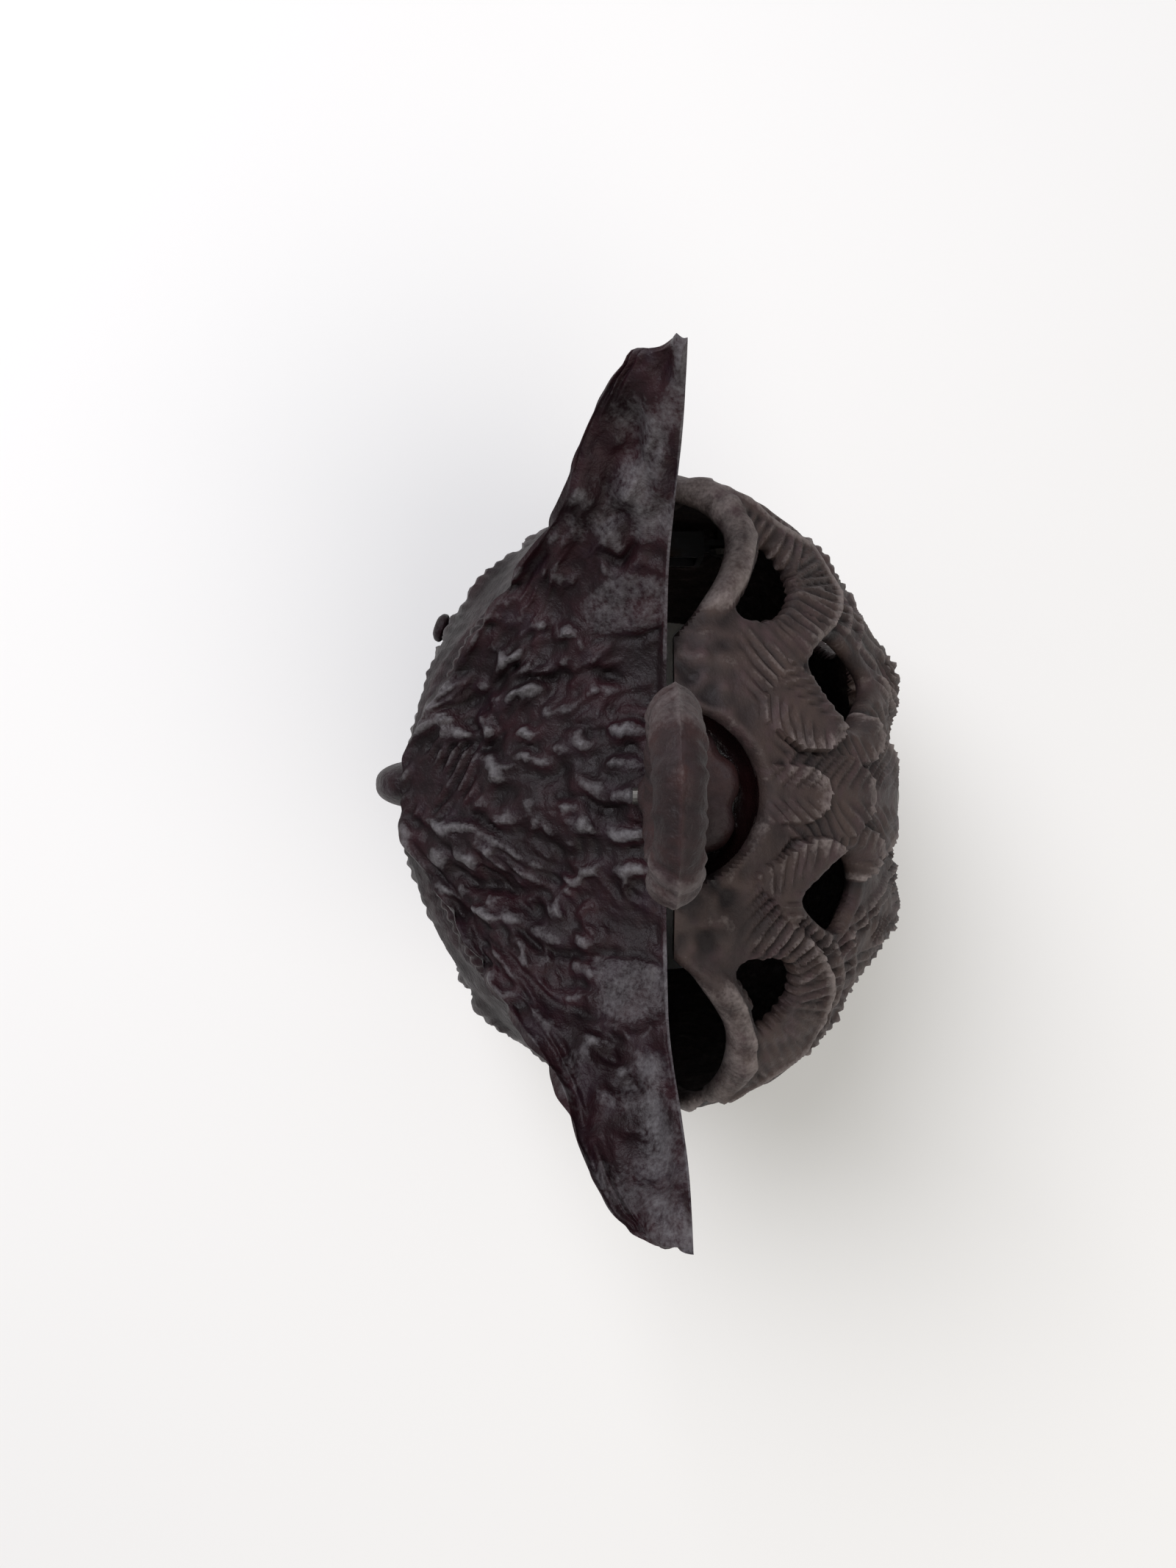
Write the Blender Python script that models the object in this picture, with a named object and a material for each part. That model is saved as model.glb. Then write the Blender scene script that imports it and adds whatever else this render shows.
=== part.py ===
"""Screw nutcracker cased in an owl: two cast half shells around a C-shaped press frame."""

from math import acos, asin, atan2, cos, pi, radians, sin

import bmesh
import bpy
import numpy as np
from mathutils import Matrix, Vector

MM = 0.001
CLEAR = 0.3 * MM  # between faceted pieces that rest on or slide in each other

# Owl: heights
BELLY_LOW_Z = 50 * MM
BELLY_HIGH_Z = 85 * MM
SHOULDER_Z = 118 * MM
CROWN_Z = 152 * MM
DOOR_CROWN_RISE = 2 * MM  # the door's crown stands above the back shell's
EAR_RISE = 26 * MM  # ear tips above the crown

# Owl: half widths and depths, and the iron
BASE_HALF_WIDTH = 50 * MM
BELLY_HALF_WIDTH = 58 * MM
SHOULDER_HALF_WIDTH = 54 * MM
EAR_HALF_WIDTH = 57 * MM
FRONT_BASE_DEPTH = 44 * MM
FRONT_BELLY_DEPTH = 49 * MM
FRONT_CHEST_DEPTH = 47 * MM
BROW_DEPTH = 41.5 * MM
BACK_BASE_DEPTH = 50 * MM
BACK_BELLY_DEPTH = 48 * MM
BACK_CHEST_DEPTH = 45.5 * MM
FRONT_CORNER = 1.15  # the plan is an ellipse at 1, squarer below it and more pointed above
BACK_CORNER = 0.72
FAN_RISE = 6.2 * MM  # of the two wing fans on the back
FEATHER_ROWS = 8  # rows round the body, front and back
FEATHER_LIFT = 1.2 * MM  # of a row's tips above the next row's roots
COLUMN_HALF_WIDTH = 9 * MM  # feathers that go on over the back's crown, up to the pocket
COLUMN_STEPS = (0.15, 0.43, 0.63, 0.82)  # where its rows end, from the neck at 0 to the crown at 1
CROWN_ROWS = (0.3, 0.54, 0.72, 0.91)  # rows of faces between those steps
STEP_HALF = 0.003  # half the rise that a step between two rows of feathers takes up
STEP_FADE = 0.08  # rise over which the rows round the body fade out into the column
BACK_SPREAD = 1.7  # draws the back's rows together towards the crown
EAR_DISH = 1.8 * MM
WALL = 3 * MM
SEAM_GAP = 1.3 * MM
EYE_RADIUS = 7.5 * MM
EYE_BULGE = 3 * MM
EYE_RING_RADIUS = 12.5 * MM
EYE_RING_BAR = 3.6 * MM
EYE_SPACING = 38 * MM
EYE_DROP = 33 * MM  # below the crown
BEAK_WIDTH = 8 * MM
BEAK_HEIGHT = 20 * MM
BEAK_DROP = 29 * MM  # beak's middle below the crown
TOE_LENGTH = 16 * MM
TOE_THICKNESS = 6.8 * MM
TOE_SPACING = 8 * MM
TOE_INNER_X = 9 * MM
TAIL_REACH = 9 * MM  # tail beyond the back's foot
POCKET_RADIUS = 14.5 * MM  # round opening in the back crown, about the screw
POCKET_LIP = 1.8 * MM

# Press
SCREW_Y = -0.9 * MM
SCREW_RADIUS = 3.5 * MM
NUT_SPACE = 14 * MM  # between the cup's floor and the pad, screwed down
BUSH_RADIUS = 6.5 * MM
BUSH_FLANGE_RADIUS = 11.2 * MM
BUSH_FLANGE_HEIGHT = 3.6 * MM
HEAD_RADIUS = 12.5 * MM
HEAD_HEIGHT = 10 * MM
HEAD_DROP = 11 * MM  # frame head's top below the crown
FRAME_WIDTH = 14 * MM
FRAME_DEPTH = 10 * MM
FRAME_FOOT_Z = 6 * MM
FRAME_GAP = 3.2 * MM  # between the frame and the back shell, bridged by bosses
CUP_RADIUS = 16 * MM
CUP_HEIGHT = 15.5 * MM
CUP_DISH_RADIUS = 13 * MM
CUP_DISH_DEPTH = 6.5 * MM
SPIGOT_RADIUS = 6 * MM
SPIGOT_LENGTH = 7 * MM
PAD_RADIUS = 10 * MM
PAD_HEIGHT = 8 * MM
PAD_SCREW_RADIUS = 1.5 * MM
PAD_SCREW_HEAD = 2.8 * MM
PAD_SCREW_BITE = 5 * MM

# Grip
RING_OUTER_RADIUS = 14.6 * MM
RING_BAR = 7 * MM
GRIP_BOSS_RADIUS = 5 * MM
GRIP_BOSS_HEIGHT = 5.5 * MM
GRIP_LIFT = 0.8 * MM  # boss above the door's crown
GRIP_PIN_RADIUS = 1.2 * MM

# Hinges, knob and catch
HINGE_STAND_OFF = 3.5 * MM  # axis beyond the wider of belly and shoulders
HINGE_LOW_Z = 36 * MM
HINGE_HIGH_Z = 104 * MM
KNUCKLE_RADIUS = 3.2 * MM
KNUCKLE_HEIGHT = 7 * MM
HINGE_PIN_RADIUS = 1.5 * MM
HINGE_PIN_HEAD = 2.6 * MM
LUG_THICKNESS = 3.4 * MM
KNOB_Z = 80 * MM
KNOB_ACROSS = 0.57  # place across the door, as a share of its half width
KNOB_RADIUS = 3 * MM
KNOB_REACH = 6 * MM
KNOB_SHANK_RADIUS = 1.6 * MM
KNOB_NUT_RADIUS = 3.4 * MM
KNOB_NUT_HEIGHT = 2.4 * MM
CATCH_Z = 80 * MM
TONGUE_HEIGHT = 8 * MM
TONGUE_THICKNESS = 1.5 * MM
TONGUE_REACH = 9 * MM
CLIP_LEAF = 1.2 * MM
CLIP_WIDTH = 5 * MM
CLIP_TAB_HALF = 3.5 * MM
CLIP_RIVET_Y = 15 * MM
CATCH_WALL_GAP = 1 * MM  # between the catch's sheets and the shells' inside
RIVET_RADIUS = 1.3 * MM
RIVET_HEAD = 2.4 * MM
FRAME_SCREW_RADIUS = 2.2 * MM
FRAME_SCREW_HEAD = 4 * MM
FRAME_BOSS_RADIUS = 5 * MM
FRAME_SCREW_LOW_Z = 36 * MM
FRAME_SCREW_HIGH_Z = 92 * MM
FRAME_SCREW_BITE = 7 * MM

# Places that follow from the sizes
SEAM = SEAM_GAP / 2
DOOR_CROWN_Z = CROWN_Z + DOOR_CROWN_RISE
EAR_Z = CROWN_Z + EAR_RISE
HINGE_X = max(BELLY_HALF_WIDTH, SHOULDER_HALF_WIDTH) + HINGE_STAND_OFF
NECK_Z = BELLY_HIGH_Z + 0.4 * (SHOULDER_Z - BELLY_HIGH_Z)
HEAD_TOP_Z = CROWN_Z - HEAD_DROP
HEAD_LOW_Z = HEAD_TOP_Z - HEAD_HEIGHT
FRAME_INSET = WALL + FRAME_GAP + FRAME_DEPTH / 2  # frame's middle line behind the back's surface
FRAME_BACK_Y = BACK_CHEST_DEPTH - FRAME_INSET - 2 * MM
ARM_TOP_Z = FRAME_FOOT_Z + FRAME_DEPTH
CUP_LOW_Z = ARM_TOP_Z + CLEAR
CUP_TOP_Z = CUP_LOW_Z + CUP_HEIGHT
PAD_LOW_Z = CUP_TOP_Z - CUP_DISH_DEPTH + NUT_SPACE
PAD_TOP_Z = PAD_LOW_Z + PAD_HEIGHT
BOSS_LOW_Z = DOOR_CROWN_Z + GRIP_LIFT
RING_Z = BOSS_LOW_Z + GRIP_BOSS_HEIGHT + RING_OUTER_RADIUS - RING_BAR / 2


def through(points, at):
    """Smooth curve through (place, value) pairs, read at each place in an array."""
    places, values = np.array(points, float).T
    slopes = np.gradient(values, places)
    at = np.clip(at, places[0], places[-1])
    i = np.clip(np.searchsorted(places, at, side="right") - 1, 0, len(places) - 2)
    gap = places[i + 1] - places[i]
    s = (at - places[i]) / gap
    start = (2 * s**3 - 3 * s**2 + 1) * values[i] + (s**3 - 2 * s**2 + s) * gap * slopes[i]
    return start + (3 * s**2 - 2 * s**3) * values[i + 1] + (s**3 - s**2) * gap * slopes[i + 1]


def half_width(z):
    return through(
        [
            (0, BASE_HALF_WIDTH),
            (BELLY_LOW_Z, BELLY_HALF_WIDTH),
            (BELLY_HIGH_Z, BELLY_HALF_WIDTH),
            (SHOULDER_Z, SHOULDER_HALF_WIDTH),
            (EAR_Z, EAR_HALF_WIDTH),
        ],
        z,
    )


def front_depth(z):
    sizes = (FRONT_BASE_DEPTH, FRONT_BELLY_DEPTH, FRONT_CHEST_DEPTH)
    return through(list(zip((0, BELLY_LOW_Z, BELLY_HIGH_Z), sizes)), z)


def back_depth(z):
    sizes = (BACK_BASE_DEPTH, BACK_BELLY_DEPTH, BACK_CHEST_DEPTH)
    return through(list(zip((0, BELLY_LOW_Z, BELLY_HIGH_Z), sizes)), z)


def dome_top(across, crown):
    """Height of the crown's outline in the seam plane, from shoulder to shoulder."""
    return SHOULDER_Z + (crown - SHOULDER_Z) * (1 - np.abs(across) ** 2.4) ** (1 / 2.2)


def shelf(place, steps):
    """Share of a feather's lift: 1 at each step, where a row's tips are, down to 0 under the next."""
    steps = np.array(steps)
    i = np.clip(np.searchsorted(steps, place, side="right") - 1, 0, len(steps) - 2)
    return 1 - np.clip((place - steps[i]) / (steps[i + 1] - steps[i]), 0, 1)


def beside_steps(steps, others):
    """Rows of a grid: one close on each side of every inner step, and the others."""
    pairs = [step + side for step in steps[1:-1] for side in (-STEP_HALF, STEP_HALF)]
    return np.array(sorted(pairs + list(others)))


def above_neck(share):
    """Rise on the back at a share of the way from the neck to the crown."""
    neck = 1 - (1 - NECK_Z / CROWN_Z) ** (1 / BACK_SPREAD)
    return neck + (1 - neck) * share


def back_steps():
    """Rises at which a row of feathers ends: round the body, then up the crown's column."""
    heights = [NECK_Z * k / FEATHER_ROWS for k in range(FEATHER_ROWS + 1)]
    body = [1 - (1 - z / CROWN_Z) ** (1 / BACK_SPREAD) for z in heights]
    return body + [above_neck(share) for share in COLUMN_STEPS]


def back_surface(angle, rise, inset=0.0):
    """Back half: angle runs round it from +X to -X, rise from the base to the crown."""
    across = np.cos(angle)
    top = dome_top(across, CROWN_Z) - inset
    z = top * (1 - (1 - rise) ** BACK_SPREAD)
    x = (half_width(z) - inset) * across
    dome = np.sqrt(np.clip(1 - np.clip((z - BELLY_HIGH_Z) / (top - BELLY_HIGH_Z), 0, 1) ** 2, 0, 1))
    off_fan = (np.abs(x) - 0.4 * BELLY_HALF_WIDTH) / (10 * MM)
    level = (z - BELLY_HIGH_Z) / (24 * MM)
    fans = FAN_RISE * np.exp(-(off_fan**2) - level**2)
    groove = 2 * MM * np.exp(-((x / (8 * MM)) ** 2) - level**2)
    depth = back_depth(z) - inset - SEAM + fans - groove
    return x, SEAM + depth * np.sin(angle) ** BACK_CORNER * dome, z


def feathered_back(angle, rise):
    x, y, z = back_surface(angle, rise)
    foot = above_neck(COLUMN_STEPS[0])
    body = np.clip((foot - rise) / STEP_FADE, 0, 1)
    column = np.clip(1.6 - np.abs(x) / COLUMN_HALF_WIDTH, 0, 1)
    lift = FEATHER_LIFT * shelf(rise, back_steps()) * np.maximum(body, column)
    crown = np.clip((rise - foot) / STEP_FADE, 0, 1)
    return x, y + lift * np.sin(angle) ** BACK_CORNER, z + lift * crown


def front_surface(angle, row):
    """Front half: rows 0 to 1 climb the body, 1 to 2 the face to the brow, 2 to 3 the roof."""
    across = np.cos(angle)
    share = np.abs(across)
    side = np.sin(angle) ** FRONT_CORNER
    brow_low = CROWN_Z - 18 * MM
    brow_z = brow_low + (EAR_Z - 4 * MM - brow_low) * through(
        [(0, 0), (0.2, 0.02), (0.42, 0.2), (0.58, 0.35), (0.74, 0.64), (0.94, 0.92), (1, 1)], share
    )
    brow_y = BROW_DEPTH * through(
        [(0, 1), (0.2, 0.965), (0.42, 0.76), (0.58, 0.565), (0.74, 0.35), (0.94, 0.18), (1, 0)], share
    )
    top = DOOR_CROWN_Z + (EAR_Z - DOOR_CROWN_Z) * through(
        [(0, 0), (0.35, -0.03), (0.55, 0.13), (0.74, 0.46), (0.9, 0.82), (1, 1)], share
    )
    body = np.clip(row, 0, 1)
    face = np.clip(row - 1, 0, 1)
    roof = np.clip(row - 2, 0, 1)
    dish = EAR_DISH * np.exp(-(((share - 0.8) / 0.12) ** 2)) * np.sin(pi * roof)
    z = np.where(row <= 1, NECK_Z * body, NECK_Z + (brow_z - NECK_Z) * face)
    z = np.where(row > 2, brow_z + (top - brow_z) * (1 - (1 - roof) ** 1.4) - dish, z)
    x = half_width(z) * across
    wing_edge = np.clip((np.abs(x) - 0.52 * BELLY_HALF_WIDTH) / (6 * MM), 0, 1)
    wing_level = np.exp(-(((z - 0.8 * BELLY_HIGH_Z) / (34 * MM)) ** 4))
    wing = 2.2 * MM * wing_edge * wing_level
    body_y = (front_depth(z) - SEAM + wing) * side
    neck_y = (front_depth(NECK_Z) - SEAM) * side
    hollow = 5 * MM * np.sin(pi * face) * side
    face_y = neck_y + (brow_y - neck_y) * face**0.8 - hollow
    y = np.where(row <= 1, body_y, face_y)
    y = np.where(row > 2, brow_y * (1 - roof), y)
    return x, -SEAM - y, z


def feathered_front(angle, row):
    x, y, z = front_surface(angle, row)
    steps = np.linspace(0, 1, FEATHER_ROWS + 1)
    return x, y - FEATHER_LIFT * shelf(row, steps) * np.sin(angle) ** FRONT_CORNER, z


def back_cavity(angle, rise):
    return back_surface(angle, rise, WALL)


def front_cavity(angle, rise):
    """Hollow behind the front: a smooth half egg that stays below the brow and the ears."""
    across = np.cos(angle)
    top = dome_top(across, DOOR_CROWN_Z - 1.4 * WALL) - WALL
    z = top * (1 - (1 - rise) ** 1.7)
    bottom = BELLY_HIGH_Z - 15 * MM
    dome = (1 - np.clip((z - bottom) / (top - bottom), 0, 1) ** 2.6) ** (1 / 2.6)
    behind_face = 4 * MM * np.clip((z - bottom) / (25 * MM), 0, 1)
    depth = front_depth(z) - WALL - behind_face
    return (half_width(z) - WALL) * across, -depth * np.sin(angle) ** FRONT_CORNER * dome, z


def material(name, color, roughness, metallic):
    made = bpy.data.materials.new(name)
    made.use_nodes = True
    shader = made.node_tree.nodes["Principled BSDF"]
    shader.inputs["Base Color"].default_value = (*color, 1)
    shader.inputs["Roughness"].default_value = roughness
    shader.inputs["Metallic"].default_value = metallic
    return made


def add_object(name, points, faces, finish=None, flat=35):
    mesh = bpy.data.meshes.new(name)
    mesh.from_pydata([tuple(point) for point in points], [], faces)
    shape = bmesh.new()
    shape.from_mesh(mesh)
    bmesh.ops.remove_doubles(shape, verts=shape.verts, dist=0.00001)
    bmesh.ops.recalc_face_normals(shape, faces=shape.faces)
    shape.to_mesh(mesh)
    shape.free()
    mesh.shade_smooth()
    mesh.set_sharp_from_angle(angle=radians(flat))
    made = bpy.data.objects.new(name, mesh)
    bpy.context.scene.collection.objects.link(made)
    made.parent = bpy.data.objects["stand"]
    if finish:
        mesh.materials.append(finish)
    else:
        made.hide_render = True
        made.display_type = "WIRE"
    return made


def combine(target, helper, operation):
    step = target.modifiers.new(helper.name, "BOOLEAN")
    step.object = helper
    step.operation = operation
    step.solver = "EXACT"


def joined_bodies(name, bodies):
    """One hidden helper that holds several separate closed bodies."""
    points, faces = [], []
    for body_points, body_faces in bodies:
        start = len(points)
        points.extend(body_points)
        faces.extend([[start + corner for corner in face] for face in body_faces])
    return add_object(name, points, faces)


def half_shell_body(surface, columns, rows):
    """Closed half body from a surface that starts at the base and ends in the seam plane."""
    angle, row = np.meshgrid(np.linspace(0, pi, columns), rows, indexing="ij")
    points = np.stack(surface(angle, row), axis=-1).reshape(-1, 3)
    height = len(rows)
    faces = []
    for i in range(columns - 1):
        for j in range(height - 1):
            low = i * height + j
            faces.append([low, low + height, low + height + 1, low + 1])
    base = [i * height for i in range(columns)]
    up = list(range(height))
    over = [i * height + height - 1 for i in range(1, columns)]
    down = [(columns - 1) * height + j for j in range(height - 2, -1, -1)]
    faces += [base[::-1], up + over + down]
    return points, faces


def turned(profile, place, direction=(0, 0, 1), sides=24):
    """Closed turned body: the profile is (radius, height) pairs from axis to axis."""
    turn = Vector((0, 0, 1)).rotation_difference(Vector(direction)).to_matrix()
    points, rings = [], []
    for radius, height in profile:
        count = sides if radius > 0 else 1
        rings.append(range(len(points), len(points) + count))
        for i in range(count):
            spot = Vector((radius * cos(2 * pi * i / sides), radius * sin(2 * pi * i / sides), height))
            points.append(turn @ spot + Vector(place))
    faces = []
    for low, high in zip(rings, rings[1:]):
        for i in range(sides):
            corners = [low[i % len(low)], low[(i + 1) % len(low)]]
            corners += [high[(i + 1) % len(high)], high[i % len(high)]]
            faces.append(list(dict.fromkeys(corners)))
    return points, [face for face in faces if len(face) > 2]


def rod(radius, place, length, direction=(0, 0, 1), sides=20):
    return turned([(0, 0), (radius, 0), (radius, length), (0, length)], place, direction, sides)


def ball(centre, sizes, sides=16, rings=9):
    points, faces = turned(
        [(sin(pi * i / rings), -cos(pi * i / rings)) if 0 < i < rings else (0, i * 2 / rings - 1)
         for i in range(rings + 1)],
        (0, 0, 0),
        sides=sides,
    )
    scale = Matrix.Diagonal(Vector(sizes))
    return [scale @ Vector(point) + Vector(centre) for point in points], faces


def block(low, high):
    points = [(x, y, z) for x in (low[0], high[0]) for y in (low[1], high[1]) for z in (low[2], high[2])]
    faces = [[0, 1, 3, 2], [4, 6, 7, 5], [0, 4, 5, 1], [2, 3, 7, 6], [0, 2, 6, 4], [1, 5, 7, 3]]
    return points, faces


def hoop(centre, radius, bar, squash, around=22, sides=6):
    """Closed ring in an XZ plane, its bar squashed along Y."""
    points, faces = [], []
    for i in range(around):
        for j in range(sides):
            turn, roll = 2 * pi * i / around, 2 * pi * j / sides
            reach = radius + bar / 2 * cos(roll)
            offset = (reach * cos(turn), squash * bar / 2 * sin(roll), reach * sin(turn))
            points.append(Vector(centre) + Vector(offset))
            a, b = i * sides + j, i * sides + (j + 1) % sides
            faces.append([a, b, (b + sides) % (around * sides), (a + sides) % (around * sides)])
    return points, faces


def prism(outline, low, high, axis):
    """Outline of two-number points, carried from low to high along axis 0, 1 or 2."""
    count = len(outline)
    points = [np.insert(np.array(spot, float), axis, end) for end in (low, high) for spot in outline]
    faces = [[i, (i + 1) % count, count + (i + 1) % count, count + i] for i in range(count)]
    return points, faces + [list(range(count))[::-1], list(range(count, 2 * count))]


def rounded_loop(corners, steps=3):
    """Closed smooth loop through the corners."""
    corners = np.array(corners, float)
    loop = []
    for i in range(len(corners)):
        a, b, c, d = (corners[(i + k) % len(corners)] for k in (-1, 0, 1, 2))
        for t in np.arange(steps) / steps:
            loop.append(b + 0.5 * t * (c - a + t * (2 * a - 5 * b + 4 * c - d + t * (3 * (b - c) + d - a))))
    return loop


def crown_holes():
    """Plan outlines of the six openings round the back crown, in millimetres on the base size."""
    outlines = [
        [(-47, -3), (-47, 4.2), (-43, 8.2), (-39.5, 8.8), (-34.5, 7.3), (-30, 4.7), (-24.5, 0.7), (-23, -3)],
        [(24.5, -3), (25.7, 1.2), (30.5, 5.3), (35.6, 8.3), (40.3, 9), (45.7, 8), (50, 5), (50.5, -3)],
        [(-39.2, 15.5), (-36.8, 18.1), (-32.5, 19.2), (-28.3, 16.8), (-27, 13), (-28.2, 10.9), (-33, 13.7)],
        [(26.4, 11.1), (25.3, 14.6), (25.9, 17.7), (29, 19.1), (32.3, 17.9), (35.1, 14.6), (31, 13.4)],
        [(-25.3, 26.5), (-20.8, 33.2), (-17.8, 34.4), (-14.8, 32.4), (-10.8, 28.8), (-13, 26), (-20.3, 21.6)],
        [(16.3, 20.3), (12.4, 23.3), (8.9, 27.5), (10.5, 29.7), (14.3, 30.9), (18.5, 29.3), (21.6, 26.4)],
    ]
    wide = SHOULDER_HALF_WIDTH / 54
    deep = BACK_CHEST_DEPTH / 45.5
    return [rounded_loop([(x * wide, y * deep) for x, y in outline]) for outline in outlines]


def side_holes():
    """Outlines, across and up, of the openings low on the back, on its +X side."""
    wide = BELLY_HALF_WIDTH / 58
    tall = BELLY_HIGH_Z / 85
    outlines = [
        [(13, 88), (21, 93), (29, 88), (30, 76), (21, 66), (13, 76)],
        [(34, 82), (41, 76), (43, 62), (37, 52), (31, 64)],
    ]
    return [rounded_loop([(x * wide, z * tall) for x, z in outline]) for outline in outlines]


def lug(low, high, way):
    """Hinge knuckle and the arm that carries it from a shell's wall, way -1 the door's, 1 the back's."""
    inner = float(half_width(np.array([low, high])).min()) - WALL / 2
    near = SEAM + 0.1 * MM
    start = pi - asin(near / KNUCKLE_RADIUS)
    arc = [start + (2.5 * pi - start) * i / 18 for i in range(19)]
    outline = [(HINGE_X + KNUCKLE_RADIUS * cos(turn), KNUCKLE_RADIUS * sin(turn)) for turn in arc]
    outline += [(inner, SEAM + LUG_THICKNESS), (inner, near)]
    return prism([(x, way * y) for x, y in outline], low, high, 2)


def front_place(share, height):
    """Point on the door's outside at a share of its half width, and the normal there."""
    row = height / NECK_Z
    spots = [
        Vector([float(v) for v in front_surface(np.array(acos(a)), np.array(r))])
        for a, r in ((share, row), (share + 0.02, row), (share, row + 0.02))
    ]
    normal = (spots[1] - spots[0]).cross(spots[2] - spots[0]).normalized()
    return spots[0], normal if normal.y < 0 else -normal


def face_y(x, z):
    """Depth of the owl's face at a place across it and a height."""
    rows = np.linspace(1, 2, 80)
    _, y, height = front_surface(np.full(80, acos(x / SHOULDER_HALF_WIDTH)), rows)
    return float(np.interp(z, height, y))


def facing(body, place, way, yaw):
    """Moves a body from the origin to the face, turned outwards with the cheek."""
    points, faces = body
    turn = Matrix.Rotation(way * yaw, 3, "Z")
    return [turn @ Vector(point) + Vector(place) for point in points], faces


def make_front_shell(finish):
    steps = np.linspace(0, 1, FEATHER_ROWS + 1)
    rows = beside_steps(steps, [0, *np.linspace(1, 2, 8), *np.linspace(2, 3, 6)[1:]])
    shell = add_object("front_shell", *half_shell_body(feathered_front, 37, rows), finish)
    eye_z = CROWN_Z - EYE_DROP
    eye_x = EYE_SPACING / 2
    rise = face_y(eye_x + EYE_RADIUS, eye_z) - face_y(eye_x - EYE_RADIUS, eye_z)
    yaw = atan2(rise, 2 * EYE_RADIUS)
    beak_sizes = (BEAK_WIDTH / 2, 5.7 * MM, BEAK_HEIGHT / 2)
    extras = [ball((0, -BROW_DEPTH + 0.5 * MM, CROWN_Z - BEAK_DROP), beak_sizes)]
    for way in (-1, 1):
        place = (way * eye_x, face_y(eye_x, eye_z), eye_z)
        extras.append(facing(ball((0, 0, 0), (EYE_RADIUS, EYE_BULGE, EYE_RADIUS), 14, 7), place, way, yaw))
        ring = hoop((0, 0, 0), EYE_RING_RADIUS, EYE_RING_BAR, 1.1)
        extras.append(facing(ring, place, way, yaw))
        for toe in range(3):
            x = way * (TOE_INNER_X + toe * TOE_SPACING)
            half = TOE_THICKNESS / 2
            side = (1 - (x / BASE_HALF_WIDTH) ** 2) ** (FRONT_CORNER / 2)
            centre = (x, 0.6 * MM - FRONT_BASE_DEPTH * side, half + 0.2 * MM)
            extras.append(ball(centre, (half, TOE_LENGTH / 2, half), 12, 7))
    combine(shell, joined_bodies("front_forms", extras), "UNION")
    lugs = [lug(z + CLEAR / 2, z + KNUCKLE_HEIGHT, -1) for z in (HINGE_LOW_Z, HINGE_HIGH_Z)]
    combine(shell, joined_bodies("door_lugs", lugs), "UNION")
    rises = np.linspace(0, 1, 14)
    hollow_points, hollow_faces = half_shell_body(front_cavity, 25, rises)
    hollow_points[:, 2] = np.where(hollow_points[:, 2] < 0.1 * MM, -2 * MM, hollow_points[:, 2])
    hollow_points[:, 1] = np.where(hollow_points[:, 1] > -0.1 * MM, 2 * MM, hollow_points[:, 1])
    combine(shell, add_object("front_hollow", hollow_points, hollow_faces), "DIFFERENCE")
    room_top = HEAD_TOP_Z + BUSH_FLANGE_HEIGHT + 3 * CLEAR
    room = rod(HEAD_RADIUS + 2 * CLEAR, (0, SCREW_Y, HEAD_LOW_Z), room_top - HEAD_LOW_Z, sides=40)
    combine(shell, joined_bodies("bush_room", [room]), "DIFFERENCE")
    notch = rod(SCREW_RADIUS + 2 * CLEAR, (0, SCREW_Y, CROWN_Z - 20 * MM), 40 * MM, sides=32)
    bores = [rod(HINGE_PIN_RADIUS + CLEAR, (HINGE_X, 0, z - 5 * MM), 20 * MM)
             for z in (HINGE_LOW_Z, HINGE_HIGH_Z)]
    spot, normal = front_place(KNOB_ACROSS * -1, KNOB_Z)
    bores.append(rod(KNOB_SHANK_RADIUS + CLEAR, spot - normal * 12 * MM, 20 * MM, normal))
    rivet = tongue_rivet_place()
    bores.append(rod(RIVET_RADIUS + CLEAR, rivet + Vector((-10 * MM, 0, 0)), 16 * MM, (1, 0, 0), 12))
    combine(shell, joined_bodies("door_bores", bores + [notch]), "DIFFERENCE")
    seat = rod(KNOB_NUT_RADIUS + 2 * CLEAR, spot - normal * (WALL + 9 * MM), 9 * MM, normal)
    combine(shell, joined_bodies("knob_nut_seat", [seat]), "DIFFERENCE")
    return shell


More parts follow.
